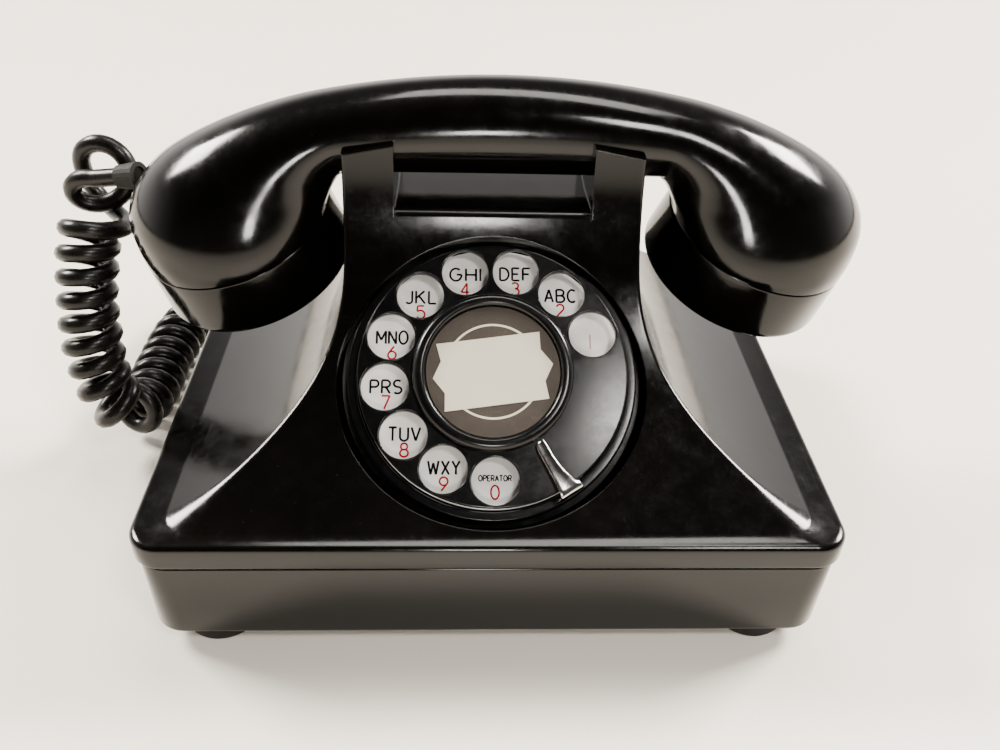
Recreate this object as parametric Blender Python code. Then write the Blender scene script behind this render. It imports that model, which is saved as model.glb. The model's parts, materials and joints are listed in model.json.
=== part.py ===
"""Rotary desk telephone with a separate handset, a three inch dial and a bell ringer inside.

Frame: +X to the user's right, +Y to the back, +Z up. The origin is on the table, under the middle of the handset's
length. Positions in the code are from the middle of the base, and main() moves the whole set once it is built.
All sizes are in metres.
"""
import math

import bmesh
import bpy
from mathutils import Matrix, Vector

MM = 0.001
GAP = 0.0003                 # running gap between pieces that touch

# Base
BASE_HALF_W = 96.6 * MM      # half of the cover's width
BASE_HALF_D = 80.0 * MM      # half of the cover's depth
BASE_CORNER_R = 9.0 * MM
FOOT_H = 5.8 * MM            # the tray's underside stands this high
TRAY_TOP_Z = 32.6 * MM
SEAM_H = 0.7 * MM            # groove between tray and cover
SHOULDER_Z = 41.2 * MM       # top edge of the cover's skirt
WALL = 3.0 * MM
TRAY_INSET = 0.8 * MM
TRAY_TAPER = 0.6 * MM
TRAY_EDGE_R = 1.6 * MM
FLOOR_T = 2.6 * MM
TONGUE_H = 2.4 * MM          # the tray's inner lip, behind the seam
FOOT_R = 11.5 * MM
FOOT_X = 78.0 * MM
FOOT_Y = 65.5 * MM

# Cover: horizontal slices between the front, back and side sweeps
SWEEP_Z0 = 42.0 * MM         # the sweeps start here
NECK_TOP_Z = 124.0 * MM
NECK_HALF_W = 42.8 * MM
NECK_FRONT_Y = -5.4 * MM
NECK_BACK_Y = 32.0 * MM
FRONT_REACH = 70.6 * MM      # how far the front sweep runs forward of the neck
BACK_REACH = 43.0 * MM
SIDE_REACH = 45.0 * MM
SIDE_TOP_Z = 92.0 * MM       # below this the sides begin to flare
BACK_TOP_Z = 110.0 * MM
FRONT_POWER = 2.4
SIDE_POWER = 2.9
BACK_POWER = 2.6
CAVITY_TOP_Z = 96.5 * MM
SLICE_HEIGHTS = [42, 43, 44.2, 45.8, 48, 51, 55, 60, 66, 73, 81, 90, 99, 108, 116, 124]

# Cradle
PRONG_INNER_X = 28.2 * MM
SHELF_Z = 102.6 * MM
SHELF_EDGE_R = 5.0 * MM
SEAT_CLEAR = 0.5 * MM
PRONG_TOP_OUTER_Z = 117.3 * MM
PRONG_TOP_INNER_Z = 121.3 * MM
PLUNGER_X = 35.5 * MM
PLUNGER_R = 2.6 * MM
LEVER_Z = 79.0 * MM
LEVER_T = 1.2 * MM
LEVER_ARM = 14.0 * MM        # from the plungers back to the lever's hinge

# Handset, lying along X
HANDSET_SHIFT = 3.0 * MM     # the handset lies this far right of the cradle's middle
HANDLE_Y = 13.0 * MM
HANDLE_Z = 118.4 * MM        # middle of the handle's section at its ends
HANDLE_HALF_D = 15.0 * MM
HANDLE_HALF_H = 11.8 * MM
HANDLE_ARCH = 2.05 * MM      # the middle is this much higher and thicker
HANDLE_HALF_L = 46.0 * MM    # where the handle ends and the cups begin
CUP_X = 81.6 * MM
CUP_Z = 89.0 * MM
CUP_R = 30.0 * MM
CUP_TILT = math.radians(15)  # the cups lean towards each other
CUP_ROLL = math.radians(14)  # and both face a little to the back
CAP_H = 19.5 * MM
CAP_RIM_R = 31.2 * MM
# Side view of a cup's back, from its open face to the end of the handle: outer line and inner line, (x, z) in mm
CUP_OUTER_LINE = [(111.8, 87.6), (111.8, 95), (108.4, 102), (101.2, 109.2), (89.6, 116.2), (75, 122.6),
                  (60, 127.3)]
CUP_INNER_LINE = [(52.3, 98.6), (51.7, 100.4), (50.9, 102), (50.0, 103.5), (49.0, 104.8), (48.0, 105.7),
                  (47, 106.3)]

# Dial
DIAL_Y = -39.3 * MM
DIAL_Z = 68.9 * MM
DIAL_TILT = math.radians(40.4)
WHEEL_R = 37.9 * MM
WHEEL_T = 1.6 * MM
HOLE_CIRCLE_R = 30.4 * MM
HOLE_R = 6.7 * MM
HOLE_COUNT = 10
HOLE_PITCH = math.tau / 13
FIRST_HOLE_ANGLE = math.radians(22)
OPENING_A = 43.9 * MM        # half width of the cover's dial opening
OPENING_B = 41.7 * MM        # half height, along the dial's slope
OPENING_SHIFT = -2.3 * MM
COLLAR_T = 2.5 * MM
COLLAR_DEPTH = 9.0 * MM
BEZEL_R = 41.2 * MM
BEZEL_TOP = -4.4 * MM        # heights along the dial's axis, from the wheel's face
PLATE_TOP = -4.8 * MM
PLATE_T = 0.8 * MM
CASE_R = 40.0 * MM
CASE_TOP = -6.4 * MM
CASE_DEPTH = 28.0 * MM
CASE_WALL = 1.5 * MM
FLANGE_R = 43.0 * MM
RING_OUTER_R = 22.6 * MM
CARD_R = 19.0 * MM
SHAFT_R = 3.0 * MM
GEAR_R = 20.0 * MM
PINION_R = 4.0 * MM
IDLER_R = 9.0 * MM
IDLER_X = GEAR_R + PINION_R + 0.4 * MM
WORM_R = 2.6 * MM
WORM_X = IDLER_X - IDLER_R - WORM_R - 0.4 * MM
WORM_LEVEL = -16.5 * MM
STOP_ANGLE = math.radians(-58)

# Cord
CORD_COIL_R = 10.0 * MM
CORD_BUSH_X = -62.0 * MM
CORD_BUSH_Z = 18.0 * MM
BUSH_R = 4.6 * MM
BUSH_BORE = 2.9 * MM

# Ringer
GONG_X = 33.0 * MM
GONG_Y = 48.0 * MM
GONG_R = 26.0 * MM
CLAPPER_Y = 21.0 * MM


def clear_scene():
    for item in list(bpy.data.objects):
        bpy.data.objects.remove(item, do_unlink=True)


def material(name, colour, roughness, metallic=0.0):
    mat = bpy.data.materials.new(name)
    mat.use_nodes = True
    shader = mat.node_tree.nodes["Principled BSDF"]
    shader.inputs["Base Color"].default_value = (*colour, 1.0)
    shader.inputs["Roughness"].default_value = roughness
    shader.inputs["Metallic"].default_value = metallic
    return mat


def make_materials():
    return {
        "bakelite": material("bakelite", (0.012, 0.010, 0.009), 0.18),
        "black_metal": material("black_metal", (0.015, 0.015, 0.016), 0.35),
        "plate": material("plate", (0.80, 0.78, 0.74), 0.25),
        "card": material("card", (0.30, 0.25, 0.20), 0.7),
        "window": material("window", (0.85, 0.87, 0.85), 0.05),
        "chrome": material("chrome", (0.80, 0.78, 0.77), 0.08, 1.0),
        "brass": material("brass", (0.70, 0.52, 0.24), 0.3, 1.0),
        "steel": material("steel", (0.50, 0.50, 0.50), 0.35, 1.0),
        "copper_coil": material("copper_coil", (0.35, 0.12, 0.06), 0.5),
        "rubber": material("rubber", (0.02, 0.018, 0.016), 0.7),
        "fibre": material("fibre", (0.20, 0.09, 0.05), 0.6),
    }


def mesh_object(name, verts, faces, mat, matrix=None, smooth_angle=35):
    mesh = bpy.data.meshes.new(name)
    mesh.from_pydata([tuple(v) for v in verts], [], faces)
    mesh.validate()
    build = bmesh.new()
    build.from_mesh(mesh)
    bmesh.ops.recalc_face_normals(build, faces=build.faces)
    build.to_mesh(mesh)
    build.free()
    mesh.shade_smooth()
    mesh.set_sharp_from_angle(angle=math.radians(smooth_angle))
    obj = bpy.data.objects.new(name, mesh)
    obj.data.materials.append(mat)
    bpy.context.scene.collection.objects.link(obj)
    if matrix is not None:
        obj.matrix_world = matrix
    return obj


def loft(name, rings, mat, matrix=None, closed=False):
    """Skin equal-length rings of points, with flat caps unless the rings close on themselves."""
    count = len(rings[0])
    verts = [point for ring in rings for point in ring]
    faces = []
    last = len(rings) if closed else len(rings) - 1
    for i in range(last):
        a = i * count
        b = ((i + 1) % len(rings)) * count
        for k in range(count):
            n = (k + 1) % count
            faces.append((a + k, a + n, b + n, b + k))
    if not closed:
        faces.append(tuple(range(count)))
        faces.append(tuple((len(rings) - 1) * count + k for k in reversed(range(count))))
    return mesh_object(name, verts, faces, mat, matrix)


def turned(name, profile, mat, matrix=None, steps=40):
    """Turn a closed (radius, height) outline about the local Z axis."""
    rings = []
    for i in range(steps):
        turn = math.tau * i / steps
        c = math.cos(turn)
        s = math.sin(turn)
        rings.append([(r * c, r * s, h) for r, h in profile])
    return loft(name, rings, mat, matrix, closed=True)


def disc(name, radius, low, high, mat, matrix=None, steps=28, centre=(0.0, 0.0)):
    x, y = centre
    rings = []
    for h in (low, high):
        rings.append([(x + radius * math.cos(math.tau * i / steps),
                       y + radius * math.sin(math.tau * i / steps), h) for i in range(steps)])
    return loft(name, rings, mat, matrix)


def tube_ring(name, inner, outer, low, high, mat, matrix=None, steps=40):
    return turned(name, [(inner, low), (outer, low), (outer, high), (inner, high)], mat, matrix, steps)


def box(name, low, high, mat, matrix=None, bevel=0.0):
    x0, y0, z0 = low
    x1, y1, z1 = high
    rings = [[(x0, y0, z), (x1, y0, z), (x1, y1, z), (x0, y1, z)] for z in (z0, z1)]
    obj = loft(name, rings, mat, matrix)
    if bevel > 0:
        mod = obj.modifiers.new("bevel", "BEVEL")
        mod.width = bevel
        mod.segments = 2
    return obj


def outline_prism(name, outline, low, high, mat, matrix=None):
    """Extrude a closed (x, y) outline from low to high along local Z."""
    return loft(name, [[(x, y, h) for x, y in outline] for h in (low, high)], mat, matrix)


def boolean(target, other, operation="DIFFERENCE"):
    """Apply one exact boolean and remove the other object."""
    mod = target.modifiers.new("boolean", "BOOLEAN")
    mod.operation = operation
    mod.object = other
    mod.solver = "EXACT"
    bpy.context.view_layer.update()
    graph = bpy.context.evaluated_depsgraph_get()
    result = bpy.data.meshes.new_from_object(target.evaluated_get(graph))
    target.modifiers.clear()
    old = target.data
    target.data = result
    bpy.data.meshes.remove(old)
    bpy.data.objects.remove(other, do_unlink=True)
    clean = bmesh.new()
    clean.from_mesh(target.data)
    bmesh.ops.remove_doubles(clean, verts=clean.verts, dist=2e-6)
    bmesh.ops.dissolve_degenerate(clean, edges=clean.edges, dist=2e-6)
    clean.to_mesh(target.data)
    clean.free()
    return target


def joined(name, parts):
    """Union of touching or overlapping solids."""
    first = parts[0]
    for other in parts[1:]:
        boolean(first, other, "UNION")
    first.name = name
    first.data.name = name
    return first


def empty(name, matrix):
    node = bpy.data.objects.new(name, None)
    bpy.context.scene.collection.objects.link(node)
    node.matrix_world = matrix
    return node


def hang(parent, *children):
    bpy.context.view_layer.update()
    for child in children:
        world = child.matrix_world.copy()
        child.parent = parent
        child.matrix_parent_inverse = parent.matrix_world.inverted()
        child.matrix_world = world


def rounded_rect(half_w, front, back, radius, z, per_corner=5):
    """Ring of points, anticlockwise from above, that starts at the right front corner."""
    points = []
    corners = (
        (half_w - radius, front + radius, -90),
        (half_w - radius, back - radius, 0),
        (-half_w + radius, back - radius, 90),
        (-half_w + radius, front + radius, 180),
    )
    for cx, cy, start in corners:
        for i in range(per_corner):
            a = math.radians(start + 90 * i / (per_corner - 1))
            points.append((cx + radius * math.cos(a), cy + radius * math.sin(a), z))
    return points


def side_width(z):
    drop = max(0.0, (SIDE_TOP_Z - z) / (SIDE_TOP_Z - SWEEP_Z0))
    return NECK_HALF_W + SIDE_REACH * drop ** SIDE_POWER


def front_y(z):
    drop = max(0.0, (NECK_TOP_Z - z) / (NECK_TOP_Z - SWEEP_Z0))
    return NECK_FRONT_Y - FRONT_REACH * drop ** FRONT_POWER


def back_y(z):
    drop = max(0.0, (BACK_TOP_Z - z) / (BACK_TOP_Z - SWEEP_Z0))
    return NECK_BACK_Y + BACK_REACH * drop ** BACK_POWER


def corner_radius(z):
    """The creases are crisp on the neck and fade out on the shoulder."""
    fade = max(0.0, 1.0 - (z - SWEEP_Z0) / (10.0 * MM))
    return 1.5 * MM + (BASE_CORNER_R - 1.5 * MM) * fade ** 2


def cover_rings(inset=0.0, top=NECK_TOP_Z):
    """Slices of the cover's outside, or of its cavity when inset by the wall."""
    rings = []
    skirt = [(TRAY_TOP_Z + SEAM_H, 0.0), (SHOULDER_Z - 1.6 * MM, 0.0),
             (SHOULDER_Z - 0.5 * MM, 0.5 * MM), (SHOULDER_Z, 1.7 * MM)]
    if inset > 0:
        skirt = [(TRAY_TOP_Z - 5 * MM, 0.0), (SHOULDER_Z - WALL, 0.0)]
    radius = BASE_CORNER_R - inset * 0.8
    for z, pull in skirt:
        rings.append(rounded_rect(BASE_HALF_W - inset - pull, -BASE_HALF_D + inset + pull,
                                  BASE_HALF_D - inset - pull, radius, z))
    for height in SLICE_HEIGHTS:
        z = height * MM
        if z > top + 1e-6:
            z = top
        r = max(corner_radius(z), 1.0 * MM)
        low_by = inset * 0.9 if inset > 0 and height < 60 else 0.0
        rings.append(rounded_rect(side_width(z) - inset * 1.2, front_y(z) + inset * 1.2,
                                  back_y(z) - inset * 1.2, r, z - low_by))
        if z >= top:
            break
    return rings


def dial_matrix():
    return Matrix.Translation((0, DIAL_Y, DIAL_Z)) @ Matrix.Rotation(DIAL_TILT, 4, "X")


def ellipse_prism(name, a, b, shift, low, high, mat, steps=48):
    rings = []
    for h in (low, high):
        rings.append([(a * math.cos(math.tau * i / steps), shift + b * math.sin(math.tau * i / steps), h)
                      for i in range(steps)])
    return loft(name, rings, mat, dial_matrix())


def handle_section(x, clear=0.0, steps=28):
    """Oval section of the handle at x."""
    rise = max(0.0, HANDLE_ARCH * (1 - (x / HANDLE_HALF_L) ** 2))
    points = []
    for i in range(steps):
        a = math.tau * i / steps
        points.append((x + HANDSET_SHIFT, HANDLE_Y + (HANDLE_HALF_D + clear) * math.cos(a),
                       HANDLE_Z + rise + (HANDLE_HALF_H + rise + clear) * math.sin(a)))
    return points


def cradle_cutters(mat):
    """The carry gap between the prongs, the seat of the handle and the sloping tops of the prongs."""
    reach = 60 * MM
    edge = SHELF_EDGE_R
    front = front_y(SHELF_Z - edge)
    back = back_y(SHELF_Z - edge)
    outline = [(-reach, SHELF_Z - edge), (front, SHELF_Z - edge)]
    for i in range(1, 6):
        a = math.radians(180 - 90 * i / 5)
        outline.append((front + edge + edge * math.cos(a), SHELF_Z - edge + edge * math.sin(a)))
    outline.append(((front + back) / 2, SHELF_Z - 1.2 * MM))
    for i in range(5):
        a = math.radians(90 - 90 * i / 5)
        outline.append((back - edge + edge * math.cos(a), SHELF_Z - edge + edge * math.sin(a)))
    far = reach + 40 * MM
    outline += [(back, SHELF_Z - edge), (far, SHELF_Z - edge), (far, 0.2), (-reach, 0.2)]
    gap_rings = [[(x, y, z) for y, z in outline] for x in (-PRONG_INNER_X, PRONG_INNER_X)]
    gap = loft("gap_cutter", gap_rings, mat)
    half = NECK_HALF_W + 12 * MM
    steps = 12
    seat_rings = []
    for i in range(steps + 1):
        x = -half + 2 * half * i / steps
        ring = []
        for px, py, pz in handle_section(x, SEAT_CLEAR):
            if pz >= HANDLE_Z:
                pz = max(pz, NECK_TOP_Z + 8 * MM)
            ring.append((px, py, pz))
        seat_rings.append(ring)
    seat = loft("seat_cutter", seat_rings, mat)
    wedges = []
    for side in (-1, 1):
        outer_x = side * (NECK_HALF_W + 3 * MM)
        inner_x = side * (PRONG_INNER_X - 3 * MM)
        top = [(outer_x, PRONG_TOP_OUTER_Z), (inner_x, PRONG_TOP_INNER_Z), (inner_x, 0.15), (outer_x, 0.15)]
        rings = [[(x, y, z) for x, z in top] for y in (-0.03, 0.06)]
        wedges.append(loft("prong_top_cutter", rings, mat))
    return [gap, seat] + wedges


def make_cover(mats):
    mat = mats["bakelite"]
    cover = loft("cover_shell", cover_rings(), mat)
    cavity = loft("cavity_cutter", cover_rings(WALL, CAVITY_TOP_Z), mat)
    boolean(cover, cavity)
    collar = ellipse_prism("collar", OPENING_A + COLLAR_T, OPENING_B + COLLAR_T, OPENING_SHIFT,
                           -COLLAR_DEPTH, 60 * MM, mat)
    outside = loft("outside", cover_rings(), mat)
    boolean(collar, outside, "INTERSECT")
    boolean(cover, collar, "UNION")
    opening = ellipse_prism("opening_cutter", OPENING_A, OPENING_B, OPENING_SHIFT, -30 * MM, 70 * MM, mat)
    boolean(cover, opening)
    well = disc("well_cutter", FLANGE_R + 2 * GAP, -30 * MM, BEZEL_TOP + 1.0 * MM, mat, dial_matrix(), 48)
    boolean(cover, well)
    for cutter in cradle_cutters(mat):
        boolean(cover, cutter)
    for side in (-1, 1):
        hole = disc("plunger_hole", PLUNGER_R + GAP, CAVITY_TOP_Z - 5 * MM, NECK_TOP_Z, mat,
                    Matrix.Translation((side * PLUNGER_X, HANDLE_Y, 0)), 16)
        boolean(cover, hole)


def make_tray(mats):
    mat = mats["bakelite"]
    outer = []
    inner = []
    heights = [(FOOT_H, TRAY_EDGE_R), (FOOT_H + 0.3 * TRAY_EDGE_R, TRAY_EDGE_R * 0.45),
               (FOOT_H + TRAY_EDGE_R, TRAY_EDGE_R * 0.0), (TRAY_TOP_Z, 0.0)]
    for z, pull in heights:
        taper = TRAY_TAPER * (TRAY_TOP_Z - z) / (TRAY_TOP_Z - FOOT_H)
        cut = TRAY_INSET + taper + pull
        outer.append(rounded_rect(BASE_HALF_W - cut, -BASE_HALF_D + cut, BASE_HALF_D - cut, BASE_CORNER_R,
                                  z))
    for z in (FOOT_H + FLOOR_T, TRAY_TOP_Z + 5 * MM):
        cut = TRAY_INSET + WALL + TRAY_TAPER
        inner.append(rounded_rect(BASE_HALF_W - cut, -BASE_HALF_D + cut, BASE_HALF_D - cut,
                                  BASE_CORNER_R - 2 * MM, z))
    tray = loft("base_tray", outer, mat)
    cut = WALL + GAP
    tongue = [rounded_rect(BASE_HALF_W - cut, -BASE_HALF_D + cut, BASE_HALF_D - cut, BASE_CORNER_R - 2 * MM,
                           z)
              for z in (TRAY_TOP_Z - 2 * MM, TRAY_TOP_Z + TONGUE_H)]
    boolean(tray, loft("tongue", tongue, mat), "UNION")
    boolean(tray, loft("tray_cutter", inner, mat))
    for x in (CORD_BUSH_X, -CORD_BUSH_X):
        hole = disc("bush_hole", BUSH_R + GAP, BASE_HALF_D - 12 * MM, BASE_HALF_D + 5 * MM, mat,
                    along_y(x, 0, CORD_BUSH_Z), 20)
        boolean(tray, hole)
    for x, y in foot_places():
        boolean(tray, disc("screw_hole", 1.6 * MM, 0, 12 * MM, mat, Matrix.Translation((x, y, 0)), 12))
    return tray


def along_y(x, y, z):
    """Matrix whose local Z points to the back."""
    return Matrix.Translation((x, y, z)) @ Matrix.Rotation(math.radians(-90), 4, "X")


def along_x(x, y, z):
    return Matrix.Translation((x, y, z)) @ Matrix.Rotation(math.radians(90), 4, "Y")


def foot_places():
    return [(-FOOT_X, -FOOT_Y), (FOOT_X, -FOOT_Y), (-FOOT_X, FOOT_Y), (FOOT_X, FOOT_Y)]


def make_feet(mats):
    names = ["front_left", "front_right", "rear_left", "rear_right"]
    top = FOOT_H - GAP
    for label, (x, y) in zip(names, foot_places()):
        place = Matrix.Translation((x, y, 0))
        profile = [(2.0 * MM, 2.4 * MM), (4.0 * MM, 2.4 * MM), (4.0 * MM, 0), (FOOT_R - 1 * MM, 0),
                   (FOOT_R, 1 * MM), (FOOT_R, top), (2.0 * MM, top)]
        turned("foot_" + label, profile, mats["rubber"], place, 20)
        head = [(0.0001, 0.8 * MM), (3.4 * MM, 0.8 * MM), (3.4 * MM, 2.0 * MM), (1.3 * MM, 2.1 * MM),
                (1.3 * MM, 12.5 * MM), (0.0001, 12.5 * MM)]
        screw = turned("foot_screw_" + label, head, mats["steel"], place, 12)
        plug_axis(screw)


def plug_axis(obj):
    """Close the thread-thin bore that turning leaves on the axis."""
    build = bmesh.new()
    build.from_mesh(obj.data)
    bmesh.ops.remove_doubles(build, verts=build.verts, dist=0.00025)
    bmesh.ops.recalc_face_normals(build, faces=build.faces)
    build.to_mesh(obj.data)
    build.free()


def make_chassis(mats):
    z0 = FOOT_H + FLOOR_T + GAP
    plate = box("chassis_plate", (-84 * MM, -70 * MM, z0), (84 * MM, 70 * MM, z0 + 1.2 * MM), mats["steel"])
    for x, y in foot_places():
        boolean(plate, disc("hole", 1.6 * MM, 0, 20 * MM, mats["steel"], Matrix.Translation((x, y, 0)), 12))
    return z0 + 1.2 * MM + GAP


def make_dial(mats):
    place = dial_matrix()
    hub = empty("dial_turn_axis", place)
    black = mats["black_metal"]
    bore = SHAFT_R + GAP
    inside = CASE_R - CASE_WALL
    turned("dial_case", [
        (bore, -CASE_DEPTH), (CASE_R, -CASE_DEPTH), (CASE_R, CASE_TOP - 3.2 * MM),
        (FLANGE_R, CASE_TOP - 3.2 * MM),
        (FLANGE_R, CASE_TOP - 2.0 * MM), (CASE_R, CASE_TOP - 2.0 * MM), (CASE_R, CASE_TOP),
        (inside, CASE_TOP),
        (inside, CASE_WALL - CASE_DEPTH), (bore, CASE_WALL - CASE_DEPTH)], black, place, 40)
    tube_ring("dial_bezel", WHEEL_R + 0.5 * MM, BEZEL_R, CASE_TOP + GAP, BEZEL_TOP, black, place, 44)
    tube_ring("number_plate", bore, WHEEL_R, PLATE_TOP - PLATE_T, PLATE_TOP, mats["plate"], place, 40)
    wheel = tube_ring("finger_wheel", bore, WHEEL_R, -WHEEL_T, 0, black, place, 48)
    for i in range(HOLE_COUNT):
        a = FIRST_HOLE_ANGLE + HOLE_PITCH * i
        centre = (HOLE_CIRCLE_R * math.cos(a), HOLE_CIRCLE_R * math.sin(a))
        hole = disc("finger_hole", HOLE_R, -3 * WHEEL_T, 2 * WHEEL_T, black, place, 16, centre)
        boolean(wheel, hole)
    ring = turned("card_ring", [
        (CARD_R, GAP), (RING_OUTER_R, GAP), (RING_OUTER_R, 1.6 * MM), (RING_OUTER_R - 1.2 * MM, 2.8 * MM),
        (CARD_R, 2.8 * MM)], black, place, 36)
    card = disc("number_card", CARD_R - GAP, 0.9 * MM, 1.3 * MM, mats["card"], place, 40)
    window = disc("card_window", CARD_R - GAP, 1.3 * MM + GAP, 2.2 * MM, mats["window"], place, 40)
    shaft = disc("dial_shaft", SHAFT_R, -26 * MM, 0.6 * MM, mats["steel"], place, 20)
    gear_low = -11.0 * MM
    gear = toothed_disc("main_gear", GEAR_R, 24, bore, gear_low, gear_low + 1.5 * MM, mats["brass"], place)
    cam = toothed_disc("pulse_cam", 8.0 * MM, 10, bore, -20 * MM, -18 * MM, mats["fibre"], place)
    hang(hub, wheel, ring, card, window, shaft, gear, cam)
    make_gear_train(mats, place, gear_low)
    make_finger_stop(mats, place)
    make_pulse_contacts(mats, place)


def toothed_disc(name, radius, teeth, bore, low, high, mat, matrix, depth=1.0 * MM):
    """Ring with coarse teeth, as one solid with a bore."""
    outer = []
    per = 4
    for i in range(teeth * per):
        a = math.tau * i / (teeth * per)
        r = radius if i % per in (0, 1) else radius - depth
        outer.append((r * math.cos(a), r * math.sin(a)))
    count = len(outer)
    inner = [(bore * math.cos(math.tau * i / count),
              bore * math.sin(math.tau * i / count)) for i in range(count)]
    rings = []
    for (ox, oy), (ix, iy) in zip(outer, inner):
        rings.append([(ix, iy, low), (ox, oy, low), (ox, oy, high), (ix, iy, high)])
    return loft(name, rings, mat, matrix, closed=True)


def make_gear_train(mats, place, gear_low):
    brass = mats["brass"]
    centre = (IDLER_X, 0)
    idler_axis = empty("idler_axis", place @ Matrix.Translation((IDLER_X, 0, 0)))
    bottom = CASE_WALL - CASE_DEPTH + GAP
    arbor = disc("arbor", 1.2 * MM, bottom, -8.4 * MM, brass, place, 12, centre)
    pinion = disc("pinion", PINION_R, gear_low - 0.2 * MM, gear_low + 1.7 * MM, brass, place, 20, centre)
    wheel = disc("wheel", IDLER_R, WORM_LEVEL - 1 * MM, WORM_LEVEL + 1 * MM, brass, place, 28, centre)
    idler = joined("idler_gear", [arbor, pinion, wheel])
    hang(idler_axis, idler)
    slope = place @ Matrix.Translation((WORM_X, 0, WORM_LEVEL)) @ Matrix.Rotation(math.radians(-90), 4, "X")
    worm_axis = empty("governor_axis", slope)
    shaft = disc("shaft", 1.2 * MM, -28 * MM, 12 * MM, mats["steel"], slope, 12)
    worm = disc("worm", WORM_R, -6 * MM, 6 * MM, mats["steel"], slope, 16)
    drum = disc("drum", 7.5 * MM, -28 * MM, -22 * MM, mats["brass"], slope, 24)
    governor = joined("governor", [shaft, worm, drum])
    hang(worm_axis, governor)


def make_finger_stop(mats, place):
    """A chrome hook that rises beside the wheel's rim and reaches over the holes."""
    turn = place @ Matrix.Rotation(STOP_ANGLE, 4, "Z")
    top = 2.2 * MM
    low = 0.7 * MM
    arm_outline = [(41.0 * MM, -4.5 * MM), (41.0 * MM, 4.5 * MM), (38.4 * MM, 4.0 * MM),
                   (33.0 * MM, 1.6 * MM),
                   (27.0 * MM, 1.2 * MM), (24.2 * MM, 1.6 * MM), (23.6 * MM, 0.0), (24.4 * MM, -1.2 * MM),
                   (28.0 * MM, -1.8 * MM), (33.5 * MM, -2.2 * MM), (38.0 * MM, -4.0 * MM)]
    arm = outline_prism("arm", arm_outline, low, top, mats["chrome"], turn)
    foot = box("foot", (38.6 * MM, -4.2 * MM, BEZEL_TOP + GAP), (40.9 * MM, 4.2 * MM, top - 0.2 * MM),
               mats["chrome"], turn)
    joined("finger_stop", [arm, foot])


def make_pulse_contacts(mats, place):
    low = CASE_WALL - CASE_DEPTH + GAP
    stack = [box("block", (-30 * MM, -5 * MM, low), (-20 * MM, 5 * MM, -15 * MM), mats["fibre"], place)]
    for i in range(3):
        y = (-2.4 + 2.4 * i) * MM
        stack.append(box("leaf", (-22 * MM, y - 0.25 * MM, -21 * MM), (-9 * MM, y + 0.25 * MM, -17 * MM),
                         mats["brass"], place))
    joined("pulse_contacts", stack)


def make_handset(mats):
    mat = mats["bakelite"]
    lift = empty("handset_lift_axis", Matrix.Translation((HANDSET_SHIFT, HANDLE_Y, HANDLE_Z)))
    count = len(CUP_OUTER_LINE) + 2
    left, right = [[bend_section(side, i) for i in range(count)] for side in (-1, 1)]
    middle = [handle_section(HANDLE_HALF_L * (i / 4 - 1)) for i in range(1, 8)]
    rings = left + middle + list(reversed(right))
    shell = loft("handset_shell", rings, mat)
    for side in (-1, 1):
        boolean(shell, cup_cutter(mat, frame_matrix(*cup_frame(side))))
    boolean(shell, loft("wire_way", wire_way_rings(), mat))
    pieces = [shell]
    for side, cap_name, capsule_name in ((-1, "transmitter_cap", "transmitter_capsule"),
                                         (1, "receiver_cap", "receiver_capsule")):
        place = frame_matrix(*cup_frame(side))
        cap = turned(cap_name, [
            (CUP_R - 2.0 * MM, GAP), (CUP_R, GAP), (CUP_R + 2.0 * MM, CAP_H * 0.5),
            (CAP_RIM_R, CAP_H - 3.0 * MM),
            (CAP_RIM_R - 0.9 * MM, CAP_H - 0.8 * MM), (CAP_RIM_R - 3.0 * MM, CAP_H),
            (12 * MM, CAP_H - 2.5 * MM),
            (4 * MM, CAP_H - 3.0 * MM), (4 * MM, CAP_H - 5.0 * MM), (CUP_R - 4 * MM, CAP_H - 5.0 * MM),
            (CUP_R - 2.4 * MM, CAP_H - 6.5 * MM)], mat, place, 32)
        capsule = disc(capsule_name, CUP_R - 5.0 * MM, -1.5 * MM, CAP_H - 6.0 * MM, mats["steel"], place,
                       28)
        pieces += [cap, capsule]
    hang(lift, *pieces)
    return lift


def cup_cutter(mat, place, steps=28):
    """Tapered hollow behind the capsule."""
    rings = []
    for h, r, shift in ((-13.0, 17.0, -3.0), (-3.0, 26.5, 0.0), (5.0, 26.5, 0.0)):
        rings.append([((shift + r * math.cos(math.tau * i / steps)) * MM,
                       r * math.sin(math.tau * i / steps) * MM, h * MM) for i in range(steps)])
    return loft("cup_cutter", rings, mat, place)


def wire_way_rings(radius=5.0 * MM, steps=12):
    """Bore for the wires, from one cup to the other through the handle."""
    middle = HANDLE_Z + HANDLE_ARCH
    route = [(-74 * MM, CUP_Z + 9 * MM), (-62 * MM, middle - 9 * MM), (-50 * MM, middle - 2 * MM),
             (0, middle),
             (50 * MM, middle - 2 * MM), (62 * MM, middle - 9 * MM), (74 * MM, CUP_Z + 9 * MM)]
    rings = []
    for i, (x, z) in enumerate(route):
        before = Vector(route[max(i - 1, 0)])
        after = Vector(route[min(i + 1, len(route) - 1)])
        along = (after - before).normalized()
        ring = []
        for k in range(steps):
            a = math.tau * k / steps
            ring.append((x + HANDSET_SHIFT - along.y * radius * math.sin(a),
                         HANDLE_Y + radius * math.cos(a),
                         z + along.x * radius * math.sin(a)))
        rings.append(ring)
    return rings


def cup_frame(side):
    """Centre of a cup's open face, the direction it faces, and the direction across it to the outside."""
    down = Vector((-side * math.sin(CUP_TILT), 0, -math.cos(CUP_TILT)))
    roll = Matrix.Rotation(CUP_ROLL, 3, "X")
    axis = roll @ down
    across = (roll @ Vector((side * math.cos(CUP_TILT), 0, -math.sin(CUP_TILT))))
    return Vector((side * CUP_X + HANDSET_SHIFT, HANDLE_Y, CUP_Z)), axis, across


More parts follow.
